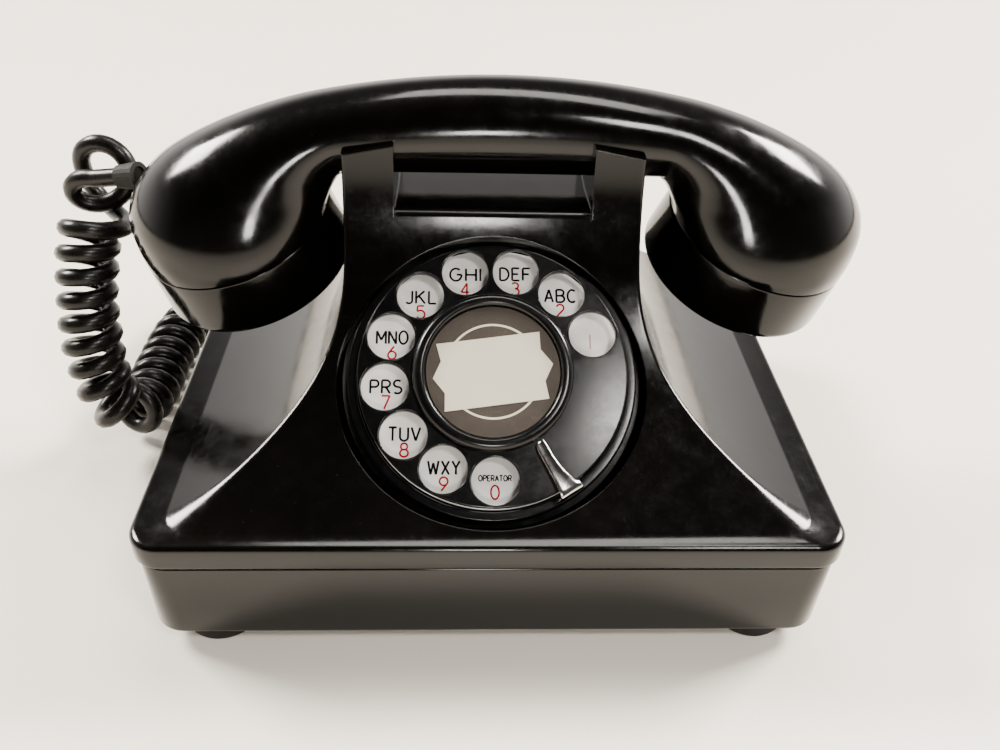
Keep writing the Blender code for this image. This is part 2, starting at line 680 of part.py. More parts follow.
def frame_matrix(origin, z_axis, x_axis):
    z = z_axis.normalized()
    x = (x_axis - z * x_axis.dot(z)).normalized()
    y = z.cross(x)
    matrix = Matrix((x, y, z)).transposed().to_4x4()
    matrix.translation = origin
    return matrix


def bend_section(side, index, steps=28):
    """Section of a cup's back: 0 is the open face and the last one is the end of the handle."""
    lean = Vector((math.cos(CUP_TILT), 0, -math.sin(CUP_TILT)))
    face = Vector((CUP_X, 0, CUP_Z))
    outer = [face + lean * CUP_R]
    inner = [face - lean * CUP_R]
    outer += [Vector((x, 0, z)) * MM for x, z in CUP_OUTER_LINE]
    inner += [Vector((x, 0, z)) * MM for x, z in CUP_INNER_LINE]
    outer.append(Vector((HANDLE_HALF_L, 0, HANDLE_Z + HANDLE_HALF_H)))
    inner.append(Vector((HANDLE_HALF_L, 0, HANDLE_Z - HANDLE_HALF_H)))
    t = index / (len(outer) - 1)
    blend = t * t * (3 - 2 * t)
    half_wide = CUP_R + (HANDLE_HALF_D - CUP_R) * blend
    centre = (outer[index] + inner[index]) / 2
    half = (outer[index] - inner[index]) / 2
    pivot = Vector((0, HANDLE_Y, CUP_Z))
    roll = Matrix.Rotation(CUP_ROLL * (1 - blend), 3, "X")
    points = []
    for i in range(steps):
        a = math.tau * i / steps
        point = centre + half * math.sin(a) + Vector((0, half_wide * math.cos(a), 0))
        point -= Vector((0, 0, CUP_Z))
        point = roll @ point + pivot
        points.append((side * point.x + HANDSET_SHIFT, point.y, point.z))
    return points


def cord_exit():
    return Vector((CORD_BUSH_X, BASE_HALF_D + 7.0 * MM, CORD_BUSH_Z))


def handset_exit():
    """Place and direction where the cord leaves the handset."""
    return Vector((-107.2 * MM, HANDLE_Y + 9.0 * MM, 98.5 * MM)), Vector((-0.93, 0.30, -0.20)).normalized()


def wall_bush(name, x, stick_out, mats):
    """Rubber bush clipped through the rear wall of the tray."""
    inside = BASE_HALF_D - 9.5 * MM
    collar = BASE_HALF_D - 7.2 * MM
    end = BASE_HALF_D + stick_out
    turned(name, [
        (BUSH_BORE, inside), (BUSH_R + 1.6 * MM, inside), (BUSH_R + 1.6 * MM, collar), (BUSH_R, collar),
        (BUSH_R, BASE_HALF_D - 3 * MM), (BUSH_R - 0.5 * MM, end), (BUSH_BORE, end)],
        mats["rubber"], along_y(x, 0, CORD_BUSH_Z), 20)


def make_bushes(mats, lift):
    wall_bush("handset_cord_bush", CORD_BUSH_X, 7.0 * MM, mats)
    wall_bush("line_cord_bush", -CORD_BUSH_X, -1.0 * MM, mats)
    start, out = handset_exit()
    bush = turned("handset_bush", [
        (BUSH_BORE, 1.5 * MM), (4.4 * MM, 1.5 * MM), (3.6 * MM, 9 * MM), (BUSH_BORE, 9 * MM)],
        mats["rubber"], frame_matrix(start, out, Vector((0, 0, 1))), 20)
    hang(lift, bush)


def make_plungers(mats):
    top = HANDLE_Z - HANDLE_HALF_H - SEAT_CLEAR - 0.2 * MM
    low = LEVER_Z + LEVER_T + GAP
    for label, side in (("left", -1), ("right", 1)):
        place = Matrix.Translation((side * PLUNGER_X, HANDLE_Y, 0))
        pin = turned("plunger_" + label, [
            (0.0001, low), (PLUNGER_R + 1.2 * MM, low), (PLUNGER_R + 1.2 * MM, low + 1.8 * MM),
            (PLUNGER_R, low + 1.8 * MM), (PLUNGER_R, top - 0.9 * MM), (PLUNGER_R - 1.0 * MM, top),
            (0.0001, top)],
            mats["fibre"], place, 16)
        plug_axis(pin)
        hang(empty("plunger_axis_" + label, place), pin)


def make_hook_switch(mats, floor_z):
    """Lever under the plungers, its bracket and pin, and the stack of contact springs."""
    steel = mats["steel"]
    hinge_y = HANDLE_Y + LEVER_ARM
    hinge_z = LEVER_Z - 0.4 * MM
    top = LEVER_Z + LEVER_T
    bar = box("bar", (-38 * MM, HANDLE_Y - 3 * MM, LEVER_Z), (38 * MM, HANDLE_Y + 3 * MM, top), steel)
    arm = box("arm", (-10 * MM, HANDLE_Y - 3 * MM, LEVER_Z), (10 * MM, hinge_y - 2.4 * MM, top), steel)
    knuckle = box("knuckle", (-10 * MM, hinge_y - 3.4 * MM, LEVER_Z - 2.0 * MM),
                  (10 * MM, hinge_y + 2.0 * MM, top),
                  steel)
    hook = joined("hook_lever", [bar, arm, knuckle])
    boolean(hook, disc("pin_hole", 1.25 * MM, -12 * MM, 12 * MM, steel, along_x(0, hinge_y, hinge_z), 16))
    hang(empty("hook_lever_axis", Matrix.Translation((0, hinge_y, hinge_z))), hook)
    disc("hook_lever_pin", 1.2 * MM, -16 * MM, 16 * MM, steel, along_x(0, hinge_y, hinge_z), 14)

    ledge = LEVER_Z - 9 * MM
    solids = [box("wall", (-16 * MM, hinge_y - 1 * MM, 40 * MM),
                  (16 * MM, hinge_y + 1 * MM, ledge + 1 * MM), steel),
              box("ledge", (-16 * MM, hinge_y - 3 * MM, ledge), (16 * MM, hinge_y + 3 * MM, ledge + 2 * MM),
                  steel)]
    for side in (-1, 1):
        low_x = min(side * 12, side * 16) * MM
        foot_x = min(side * 12, side * 20) * MM
        ear_x = min(side * 11, side * 15) * MM
        solids.append(box("post", (low_x, hinge_y - 2 * MM, floor_z),
                          (low_x + 4 * MM, hinge_y + 1 * MM, 42 * MM),
                          steel))
        solids.append(box("foot", (foot_x, hinge_y - 3 * MM, floor_z),
                          (foot_x + 8 * MM, hinge_y + 1 * MM, floor_z + 1.6 * MM), steel))
        solids.append(box("ear", (ear_x, hinge_y - 3 * MM, ledge),
                          (ear_x + 4 * MM, hinge_y + 3 * MM, top + 0.8 * MM),
                          steel))
    bracket = joined("hookswitch_bracket", solids)
    boolean(bracket, disc("pin_hole", 1.5 * MM, -20 * MM, 20 * MM, steel, along_x(0, hinge_y, hinge_z), 16))

    stack = [box("block", (-7 * MM, hinge_y - 10 * MM, 44 * MM), (7 * MM, hinge_y - 1 * MM - GAP, 52 * MM),
                 mats["fibre"])]
    for i in range(4):
        y = hinge_y - (9.0 - 2.2 * i) * MM
        stack.append(box("leaf", (-3 * MM, y, 40 * MM), (3 * MM, y + 0.5 * MM, 68 * MM), mats["brass"]))
    joined("hook_contacts", stack)


def make_ringer(mats, floor_z):
    """Two coils on a frame, two gongs on their posts and a clapper that swings between them."""
    steel = mats["steel"]
    base = box("base", (-24 * MM, 4 * MM, floor_z), (24 * MM, 23.4 * MM, floor_z + 1.6 * MM), steel)
    post = box("post", (-20 * MM, 4 * MM, floor_z), (20 * MM, 6 * MM, floor_z + 22 * MM), steel)
    joined("ringer_frame", [base, post])
    coil_z = floor_z + 12 * MM
    for label, side in (("left", -1), ("right", 1)):
        turned("ringer_coil_" + label, [
            (2.5 * MM, 6.3 * MM), (9 * MM, 6.3 * MM), (9 * MM, 7.8 * MM), (8 * MM, 7.8 * MM),
            (8 * MM, 15.5 * MM),
            (9 * MM, 15.5 * MM), (9 * MM, 17 * MM), (2.5 * MM, 17 * MM)], mats["copper_coil"],
            along_y(side * 10.5 * MM, 0, coil_z), 24)
        turned("gong_" + label, [
            (2.3 * MM, 13.0 * MM), (8 * MM, 13.0 * MM), (19 * MM, 10.5 * MM), (GONG_R - 2.2 * MM, 4 * MM),
            (GONG_R - 1.4 * MM, 0), (GONG_R, 0), (GONG_R - 0.8 * MM, 4.6 * MM), (20 * MM, 12.0 * MM),
            (8 * MM, 14.6 * MM), (2.3 * MM, 14.6 * MM)], mats["brass"],
            Matrix.Translation((side * GONG_X, GONG_Y, floor_z + 2.5 * MM)), 28)
        stud = turned("gong_screw_" + label, [
            (0.0001, 0), (4 * MM, 0), (4 * MM, 15.2 * MM), (2.0 * MM, 15.2 * MM),
            (2.0 * MM, 17.1 * MM + GAP),
            (4.6 * MM, 17.1 * MM + GAP), (4.2 * MM, 19.5 * MM), (0.0001, 19.5 * MM)], steel,
            Matrix.Translation((side * GONG_X, GONG_Y, floor_z)), 16)
        plug_axis(stud)
    make_clapper(mats, floor_z)


def make_clapper(mats, floor_z):
    steel = mats["steel"]
    arm_z = floor_z + 7.5 * MM
    pivot = Matrix.Translation((0, CLAPPER_Y, 0))
    disc("clapper_pin", 1.2 * MM, floor_z + 1.6 * MM + GAP, floor_z + 20 * MM, steel, pivot, 12)
    hub = disc("hub", 3.0 * MM, arm_z - 2 * MM, arm_z + 4 * MM, steel, pivot, 16)
    arm = box("arm", (-0.7 * MM, CLAPPER_Y, arm_z - 0.7 * MM), (0.7 * MM, GONG_Y, arm_z + 0.7 * MM), steel)
    ball = disc("ball", 4.6 * MM, arm_z - 2.4 * MM, arm_z + 2.4 * MM, steel,
                Matrix.Translation((0, GONG_Y, 0)), 16)
    armature = box("armature", (-16 * MM, CLAPPER_Y - 2.6 * MM, arm_z + 2.0 * MM),
                   (16 * MM, CLAPPER_Y - 0.6 * MM, arm_z + 8 * MM), steel)
    clapper = joined("clapper", [hub, arm, ball, armature])
    boolean(clapper, disc("bore", 1.2 * MM + GAP, 0, 60 * MM, steel, pivot, 16))
    hang(empty("clapper_axis", pivot), clapper)


def make_electrics(mats, floor_z):
    box("condenser", (-78 * MM, 8 * MM, floor_z), (-62 * MM, 46 * MM, floor_z + 20 * MM), mats["steel"],
        bevel=1.0 * MM)
    box("terminal_block", (34 * MM, -62 * MM, floor_z), (66 * MM, -42 * MM, floor_z + 9 * MM),
        mats["fibre"],
        bevel=0.6 * MM)
    turned("induction_coil", [
        (2.5 * MM, 4 * MM), (9 * MM, 4 * MM), (9 * MM, 6 * MM), (7.6 * MM, 6 * MM), (7.6 * MM, 42 * MM),
        (9 * MM, 42 * MM), (9 * MM, 44 * MM), (2.5 * MM, 44 * MM)], mats["copper_coil"],
        along_y(70 * MM, 0, floor_z + 9.4 * MM), 24)


def cord_route():
    """Centre line of the coiled cord, from the base's bush round the left rear corner and up to the handset."""
    start, out = handset_exit()
    first = cord_exit() + Vector((0, 2 * GAP, 0))
    last = start + out * (9.8 * MM)
    return [
        first,
        Vector((-62, 97, 18)) * MM,
        Vector((-75, 108, 12.5)) * MM,
        Vector((-98, 107, 10.6)) * MM,
        Vector((-115, 92, 10.4)) * MM,
        Vector((-121, 70, 10.4)) * MM,
        Vector((-123, 46, 10.4)) * MM,
        Vector((-122, 24, 10.6)) * MM,
        Vector((-124, 9, 14.5)) * MM,
        Vector((-128, 6, 25)) * MM,
        Vector((-130.5, 8, 38)) * MM,
        Vector((-131, 12, 53)) * MM,
        Vector((-129.5, 17, 69)) * MM,
        Vector((-127, 22, 82)) * MM,
        Vector((-122.5, 25.5, 91)) * MM,
        last + out * (5 * MM),
        last,
    ]


def smooth_route(points, per_span=4):
    """Catmull-Rom curve through the points."""
    padded = [points[0] * 2 - points[1]] + points + [points[-1] * 2 - points[-2]]
    result = []
    for i in range(1, len(padded) - 2):
        p0, p1, p2, p3 = padded[i - 1:i + 3]
        for k in range(per_span):
            t = k / per_span
            line = 2 * p1 + (p2 - p0) * t
            bend = (2 * p0 - 5 * p1 + 4 * p2 - p3) * t ** 2
            twist = (3 * p1 - p0 - 3 * p2 + p3) * t ** 3
            result.append(0.5 * (line + bend + twist))
    result.append(padded[-2])
    return result


def make_cord_tube(mats):
    points = smooth_route(cord_route())
    curve = bpy.data.curves.new("handset_cord", "CURVE")
    curve.dimensions = "3D"
    curve.bevel_depth = CORD_COIL_R
    curve.bevel_resolution = 2
    curve.use_fill_caps = True
    curve.render_resolution_u = 0
    spline = curve.splines.new("POLY")
    spline.points.add(len(points) - 1)
    for item, point in zip(spline.points, points):
        item.co = (*point, 1.0)
    cord = bpy.data.objects.new("handset_cord", curve)
    cord.data.materials.append(mats["rubber"])
    bpy.context.scene.collection.objects.link(cord)


def main():
    clear_scene()
    mats = make_materials()
    make_cover(mats)
    make_tray(mats)
    make_feet(mats)
    floor_z = make_chassis(mats)
    make_dial(mats)
    lift = make_handset(mats)
    make_bushes(mats, lift)
    make_cord_tube(mats)
    make_plungers(mats)
    make_hook_switch(mats, floor_z)
    make_ringer(mats, floor_z)
    make_electrics(mats, floor_z)
    for item in bpy.context.scene.objects:
        if item.parent is None:
            item.location.x -= HANDSET_SHIFT


main()
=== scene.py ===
"""Looks of the rotary telephone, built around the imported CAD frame.

Positions inside the base are measured from the middle of the base, and BASE_X takes them to the
frame's origin.
"""
import json
import math

import bmesh
import bpy
from mathutils import Matrix, Vector

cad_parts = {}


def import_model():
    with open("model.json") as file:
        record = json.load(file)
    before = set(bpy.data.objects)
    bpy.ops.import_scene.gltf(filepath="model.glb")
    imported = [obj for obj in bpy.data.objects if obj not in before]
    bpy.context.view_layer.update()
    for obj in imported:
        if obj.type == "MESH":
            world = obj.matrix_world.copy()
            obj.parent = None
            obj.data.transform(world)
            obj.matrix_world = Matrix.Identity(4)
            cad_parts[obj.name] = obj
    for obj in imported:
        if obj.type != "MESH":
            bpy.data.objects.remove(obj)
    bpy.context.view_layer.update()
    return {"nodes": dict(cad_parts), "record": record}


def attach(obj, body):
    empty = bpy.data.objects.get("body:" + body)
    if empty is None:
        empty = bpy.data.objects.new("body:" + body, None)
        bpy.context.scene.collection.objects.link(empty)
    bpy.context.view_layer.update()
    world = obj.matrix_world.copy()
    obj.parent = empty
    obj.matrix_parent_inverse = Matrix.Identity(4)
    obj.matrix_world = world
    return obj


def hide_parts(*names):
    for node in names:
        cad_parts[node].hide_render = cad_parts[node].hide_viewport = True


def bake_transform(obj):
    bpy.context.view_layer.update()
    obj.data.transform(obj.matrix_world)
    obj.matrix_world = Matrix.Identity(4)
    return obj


MM = 0.001

# Frame: the same driving sizes as the CAD
HANDSET_SHIFT = 3.0 * MM
BASE_X = -HANDSET_SHIFT
BASE_HALF_W = 96.6 * MM
BASE_HALF_D = 80.0 * MM
BASE_CORNER_R = 9.0 * MM
FOOT_H = 5.8 * MM
FOOT_R = 11.5 * MM
FOOT_X = 78.0 * MM
FOOT_Y = 65.5 * MM
TRAY_TOP_Z = 32.6 * MM
SEAM_H = 0.7 * MM
COVER_LOW = TRAY_TOP_Z + SEAM_H
LIP_INSET = 2.4 * MM          # the tray's lip inside the cover
LIP_H = 2.4 * MM
SEAM_ROUND = 0.7 * MM         # rounding of both edges at the seam
SHOULDER_Z = 41.2 * MM
SHOULDER_R = 1.7 * MM
TRAY_INSET = 0.8 * MM
TRAY_TAPER = 0.6 * MM
TRAY_EDGE_R = 1.6 * MM
SWEEP_Z0 = 42.0 * MM
NECK_TOP_Z = 124.0 * MM
NECK_HALF_W = 42.8 * MM
NECK_FRONT_Y = -5.4 * MM
NECK_BACK_Y = 32.0 * MM
FRONT_REACH = 70.6 * MM
BACK_REACH = 43.0 * MM
SIDE_REACH = 45.0 * MM
SIDE_TOP_Z = 92.0 * MM
BACK_TOP_Z = 110.0 * MM
FRONT_POWER = 2.4
SIDE_POWER = 2.9
BACK_POWER = 2.6
CREASE_R = 1.2 * MM
PRONG_INNER_X = 28.2 * MM
SHELF_Z = 102.6 * MM
SHELF_EDGE_R = 5.0 * MM
SEAT_CLEAR = 0.5 * MM
PRONG_TOP_OUTER_Z = 117.3 * MM
PRONG_TOP_INNER_Z = 121.3 * MM
PLUNGER_X = 35.5 * MM
PLUNGER_R = 2.6 * MM

HANDLE_Y = 13.0 * MM
HANDLE_Z = 118.4 * MM
HANDLE_HALF_D = 15.0 * MM
HANDLE_HALF_H = 11.8 * MM
HANDLE_ARCH = 2.05 * MM
HANDLE_HALF_L = 46.0 * MM
CUP_X = 81.6 * MM
CUP_Z = 89.0 * MM
CUP_R = 30.0 * MM
CUP_TILT = math.radians(15)
CUP_ROLL = math.radians(14)
CAP_H = 19.5 * MM
CAP_SEAM = 0.45 * MM
HANDSET_SIDES = 64            # points round each section
CAP_RIM_R = 31.2 * MM
CUP_OUTER_LINE = [(111.8, 87.6), (111.8, 95), (108.4, 102), (101.2, 109.2), (89.6, 116.2), (75, 122.6),
                  (60, 127.3)]
CUP_INNER_LINE = [(52.3, 98.6), (51.7, 100.4), (50.9, 102), (50.0, 103.5), (49.0, 104.8), (48.0, 105.7),
                  (47, 106.3)]

DIAL_Y = -39.3 * MM
DIAL_Z = 68.9 * MM
DIAL_TILT = math.radians(40.4)
WHEEL_R = 37.9 * MM
WHEEL_T = 1.6 * MM
HOLE_CIRCLE_R = 30.4 * MM
HOLE_R = 6.7 * MM
HOLE_COUNT = 10
HOLE_PITCH = math.tau / 13
FIRST_HOLE_ANGLE = math.radians(22)
OPENING_A = 43.9 * MM
OPENING_B = 41.7 * MM
OPENING_SHIFT = -2.3 * MM
BEZEL_R = 41.2 * MM
BEZEL_TOP = -4.4 * MM
PLATE_TOP = -4.8 * MM
PLATE_T = 0.8 * MM
CASE_R = 40.0 * MM
CASE_TOP = -6.4 * MM
CASE_DEPTH = 28.0 * MM
CASE_WALL = 1.5 * MM
FLANGE_R = 43.0 * MM
RING_OUTER_R = 22.6 * MM
CARD_R = 19.0 * MM
SHAFT_R = 3.0 * MM
STOP_ANGLE = math.radians(-58)
GAP = 0.3 * MM

CORD_R = 2.9 * MM             # the wire of the coil
CORD_COIL_R = 10.0 * MM       # outer radius of the coil
CORD_PITCH = 7.4 * MM
COIL_FROM_BASE = 26 * MM      # route length before the first turn
COIL_FROM_HANDSET = 20 * MM   # and after the last
COIL_CLEAR_PITCH = 6.4 * MM   # least spacing of the turns on the inside of a bend
ROUTE_PASSES = 4              # rounds of easing on the route's corners
ROUTE_REACH = 9               # route points averaged to each side
TURN_POINTS = 18
COIL_EASE = 14 * MM           # length over which the turns reach their uneven size
COIL_UNEVEN = 0.02
COIL_LAST_ANGLE = math.radians(265)
LEAD_PULL_BASE = 32 * MM      # how far each lead carries on straight before it bends
LEAD_PULL_LOOP = 54 * MM
LEAD_PULL_HANDSET = 7 * MM
LOOP_X = -128 * MM            # the slack loop beside the cup
LOOP_Z = 93 * MM
LOOP_R = 8.6 * MM
LOOP_LAST_R = 8.2 * MM
LOOP_DEPTH = 14 * MM
LOOP_REACH = 20 * MM
CORD_BUSH_X = -62.0 * MM
CORD_BUSH_Z = 18.0 * MM
BUSH_R = 4.6 * MM

# Camera
CAMERA_AT = Vector((-12.77, -249.65, 221.36)) * MM
CAMERA_PITCH = math.radians(36.06)
CAMERA_YAW = math.radians(3.19)
CAMERA_ROLL = math.radians(2.31)
CAMERA_LENS = 33.48

FLOOR_HALF = 14.0
WORLD_LIGHT = 2.2
GLOSS = 0.30                  # how strongly the black parts mirror the room


# ---- materials

class Nodes:
    """Short names for building the node tree of a material or of the world."""

    def __init__(self, owner, shader="Principled BSDF", place="Object"):
        self.owner = owner
        owner.use_nodes = True
        self.tree = owner.node_tree
        self.shader = self.tree.nodes[shader]
        self.place = self.add("ShaderNodeTexCoord").outputs[place]

    def feed(self, value, target):
        """Link an input to another node's output, or set it to a number or a colour."""
        if isinstance(value, bpy.types.NodeSocket):
            self.tree.links.new(value, target)
        else:
            target.default_value = (*value, 1.0) if isinstance(value, tuple) else value

    def add(self, kind, inputs=None, **settings):
        node = self.tree.nodes.new(kind)
        for key, value in settings.items():
            setattr(node, key, value)
        for key, value in (inputs or {}).items():
            self.feed(value, node.inputs[key])
        return node

    def noise(self, scale, detail=3.0, roughness=0.55, stretch=None):
        place = self.place
        if stretch:
            mapping = self.add("ShaderNodeMapping", {"Vector": place})
            mapping.inputs["Scale"].default_value = stretch
            place = mapping.outputs["Vector"]
        inputs = {"Vector": place, "Scale": scale, "Detail": detail, "Roughness": roughness}
        return self.add("ShaderNodeTexNoise", inputs).outputs["Fac"]

    def cells(self, scale):
        return self.add("ShaderNodeTexVoronoi", {"Vector": self.place, "Scale": scale}).outputs["Distance"]

    def ramp(self, source, low, high, first=0.0, last=1.0, shape="LINEAR"):
        inputs = {"Value": source, "From Min": low, "From Max": high, "To Min": first, "To Max": last}
        return self.add("ShaderNodeMapRange", inputs, interpolation_type=shape).outputs["Result"]

    def mix(self, factor, one, two):
        node = self.add("ShaderNodeMix", {"Factor": factor, "A": one, "B": two}, data_type="RGBA")
        return node.outputs["Result"]

    def maths(self, operation, one, two):
        return self.add("ShaderNodeMath", {0: one, 1: two}, operation=operation).outputs["Value"]

    def times(self, one, two):
        return self.maths("MULTIPLY", one, two)

    def plus(self, one, two):
        return self.maths("ADD", one, two)

    def bump(self, height, strength, distance, normal=None):
        inputs = {"Height": height, "Strength": strength, "Distance": distance}
        if normal:
            inputs["Normal"] = normal
        return self.add("ShaderNodeBump", inputs).outputs["Normal"]

    def edge(self, radius):
        return self.add("ShaderNodeBevel", {"Radius": radius}, samples=4).outputs["Normal"]

    def finish(self, colour, roughness, normal=None, **constants):
        self.feed(colour, self.shader.inputs["Base Color"])
        self.feed(roughness, self.shader.inputs["Roughness"])
        if normal:
            self.feed(normal, self.shader.inputs["Normal"])
        for key, value in constants.items():
            self.shader.inputs[key.replace("_", " ")].default_value = value
        return self.owner


def material(name):
    return Nodes(bpy.data.materials.new(name))


def polished_black(name, edge_radius=0.0):
    """Moulded black: cloudy brown-black, polished, with fine wear, dust specks and a slight orange peel."""
    n = material(name)
    base = n.mix(n.ramp(n.noise(38.0, 4.0), 0.35, 0.7), (0.0007, 0.0006, 0.0005), (0.0016, 0.0012, 0.0009))
    size = n.ramp(n.cells(900.0), 0.05, 0.11, 1.0, 0.0)
    chance = n.ramp(n.noise(420.0, 2.0), 0.60, 0.72)
    dust = n.times(size, chance)
    colour = n.mix(dust, base, (0.050, 0.043, 0.036))
    wear = n.ramp(n.noise(160.0, 5.0, 0.7), 0.4, 0.75, 0.11, 0.21)
    scuffs = n.ramp(n.noise(900.0, 2.0, 0.6, (1.0, 0.08, 1.0)), 0.58, 0.75, 0.0, 0.05)
    rough = n.plus(n.plus(wear, scuffs), n.ramp(dust, 0.0, 1.0, 0.0, 0.25))
    normal = n.edge(edge_radius) if edge_radius else None
    normal = n.bump(n.noise(55.0, 2.0), 0.06, 0.0006, normal)
    normal = n.bump(n.noise(1500.0, 2.0), 0.05, 0.00006, normal)
    return n.finish(colour, rough, normal, IOR=1.5, Specular_IOR_Level=GLOSS)


def satin_black(name, edge_radius=0.0):
    n = material(name)
    cloud = n.ramp(n.noise(60.0, 4.0), 0.35, 0.7)
    colour = n.mix(cloud, (0.0010, 0.0010, 0.0011), (0.0024, 0.0023, 0.0023))
    rough = n.ramp(n.noise(240.0, 4.0, 0.7), 0.3, 0.75, 0.17, 0.27)
    normal = n.edge(edge_radius) if edge_radius else None
    normal = n.bump(n.noise(1400.0, 3.0), 0.10, 0.00008, normal)
    return n.finish(colour, rough, normal, IOR=1.5, Specular_IOR_Level=GLOSS)


def enamel():
    n = material("enamel_plate")
    stain = n.ramp(n.noise(120.0, 4.0), 0.35, 0.75)
    colour = n.mix(stain, (0.80, 0.79, 0.77), (0.70, 0.67, 0.62))
    rough = n.ramp(n.noise(300.0), 0.3, 0.7, 0.10, 0.20)
    return n.finish(colour, rough, n.bump(n.noise(90.0), 0.05, 0.0003), IOR=1.5)


def paper(name, dark, light):
    n = material(name)
    fibre = n.ramp(n.noise(1800.0, 3.0, 0.7, (1.0, 0.35, 1.0)), 0.3, 0.7)
    patch = n.ramp(n.noise(110.0, 4.0), 0.3, 0.75)
    colour = n.mix(n.times(fibre, patch), dark, light)
    rough = n.ramp(fibre, 0.0, 1.0, 0.72, 0.85)
    return n.finish(colour, rough, n.bump(fibre, 0.15, 0.00004))


def clear_window():
    """Thin clear sheet: mostly see-through, with the surface gloss kept."""
    n = material("clear_window")
    stain = n.ramp(n.noise(140.0, 3.0), 0.35, 0.7)
    tint = n.mix(stain, (0.030, 0.024, 0.018), (0.060, 0.050, 0.040))
    rough = n.ramp(n.noise(500.0, 3.0), 0.45, 0.8, 0.03, 0.10)
    return n.finish(tint, rough, n.bump(n.noise(70.0), 0.03, 0.0002), IOR=2.0, Alpha=0.10)


def metal(name, dark, light, low, high, stretch=None, scale=700.0):
    n = material(name)
    grain = n.noise(scale, 3.0, 0.6, stretch)
    tarnish = n.ramp(n.noise(90.0, 4.0), 0.35, 0.7)
    colour = n.mix(tarnish, dark, light)
    rough = n.plus(n.ramp(grain, 0.3, 0.7, low, high), n.ramp(tarnish, 0.0, 1.0, 0.06, 0.0))
    return n.finish(colour, rough, n.bump(grain, 0.08, 0.00005), Metallic=1.0)


def matte(name, dark, light, low, high, scale=500.0, strength=0.3, gloss=0.25):
    n = material(name)
    grain = n.noise(scale, 4.0, 0.7)
    colour = n.mix(n.ramp(n.noise(80.0, 3.0), 0.3, 0.7), dark, light)
    rough = n.ramp(grain, 0.3, 0.7, low, high)
    return n.finish(colour, rough, n.bump(grain, strength, 0.0001), Specular_IOR_Level=gloss)


def ink(name, dark, light):
    return matte(name, dark, light, 0.7, 0.85, 1500.0, 0.05, 0.03)


def winding():
    """Varnished wire wound round the coil's own axis, which runs front to back."""
    n = material("winding")
    inputs = {"Vector": n.place, "Scale": 1100.0, "Distortion": 1.5}
    wave = n.add("ShaderNodeTexWave", inputs, bands_direction="Y").outputs["Fac"]
    colour = n.mix(wave, (0.12, 0.035, 0.015), (0.42, 0.16, 0.07))
    return n.finish(colour, n.ramp(wave, 0.0, 1.0, 0.5, 0.3), n.bump(wave, 0.5, 0.0002))


def make_materials():
    return {
        "bakelite": polished_black("bakelite"),
        "bakelite_cover": polished_black("bakelite_cover", 0.6 * MM),
        "black_metal": satin_black("black_metal"),
        "black_wheel": satin_black("black_wheel", 0.25 * MM),
        "plate": enamel(),
        "card": paper("brown_card", (0.040, 0.030, 0.023), (0.085, 0.067, 0.052)),
        "label": paper("cream_label", (0.88, 0.80, 0.63), (0.94, 0.88, 0.73)),
        "window": clear_window(),
        "chrome": metal("chrome", (0.74, 0.70, 0.69), (0.90, 0.86, 0.84), 0.05, 0.12),
        "brass": metal("brass", (0.48, 0.33, 0.13), (0.76, 0.57, 0.27), 0.20, 0.36, (1.0, 1.0, 0.1)),
        "steel": metal("steel", (0.40, 0.40, 0.41), (0.60, 0.60, 0.60), 0.25, 0.42, (1.0, 0.1, 1.0)),
        "copper_coil": winding(),
        "rubber": matte("rubber", (0.0040, 0.0034, 0.0030), (0.0090, 0.0078, 0.0068), 0.55, 0.75, 900.0),
        "cord_rubber": matte("cord_rubber", (0.0022, 0.0017, 0.0014), (0.0055, 0.0042, 0.0034), 0.24, 0.38,
                             600.0,
                             0.12),
        "fibre": matte("fibre", (0.10, 0.045, 0.025), (0.22, 0.10, 0.055), 0.5, 0.7),
        "black_ink": ink("black_ink", (0.002, 0.002, 0.002), (0.006, 0.006, 0.006)),
        "red_ink": ink("red_ink", (0.26, 0.000, 0.003), (0.36, 0.001, 0.006)),
        "pale_ink": ink("pale_ink", (0.30, 0.10, 0.08), (0.40, 0.16, 0.13)),
    }


# ---- mesh helpers

def link_object(name, data):
    obj = bpy.data.objects.new(name, data)
    bpy.context.scene.collection.objects.link(obj)
    return obj


def smooth_shading(mesh, sharp=35):
    """Shade smooth, with hard edges where faces meet at more than the angle, in degrees."""
    mesh.shade_smooth()
    mesh.set_sharp_from_angle(angle=math.radians(sharp))


def mesh_object(name, verts, faces, mat, matrix=None, sharp=35):
    mesh = bpy.data.meshes.new(name)
    mesh.from_pydata([tuple(v) for v in verts], [], faces)
    build = bmesh.new()
    build.from_mesh(mesh)
    if matrix is not None:
        bmesh.ops.transform(build, matrix=matrix, verts=build.verts)
    bmesh.ops.recalc_face_normals(build, faces=build.faces)
    build.to_mesh(mesh)
    build.free()
    smooth_shading(mesh, sharp)
    mesh.materials.append(mat)
    return link_object(name, mesh)


def loft(name, rings, mat, matrix=None, closed=False, sharp=35):
    """Skin equal-length rings of points, with flat caps unless the rings close on themselves."""
    count = len(rings[0])
    verts = [point for ring in rings for point in ring]
    faces = []
    for i in range(len(rings) if closed else len(rings) - 1):
        a = i * count
        b = ((i + 1) % len(rings)) * count
        for k in range(count):
            n = (k + 1) % count
            faces.append((a + k, a + n, b + n, b + k))
    if not closed:
        faces.append(tuple(range(count)))
        faces.append(tuple((len(rings) - 1) * count + k for k in reversed(range(count))))
    return mesh_object(name, verts, faces, mat, matrix, sharp)


def turned(name, profile, mat, matrix=None, steps=96, sharp=35):
    """Turn a closed (radius, height) outline about the local Z axis."""
    rings = []
    for i in range(steps):
        c = math.cos(math.tau * i / steps)
        s = math.sin(math.tau * i / steps)
        rings.append([(r * c, r * s, h) for r, h in profile])
    return loft(name, rings, mat, matrix, closed=True, sharp=sharp)


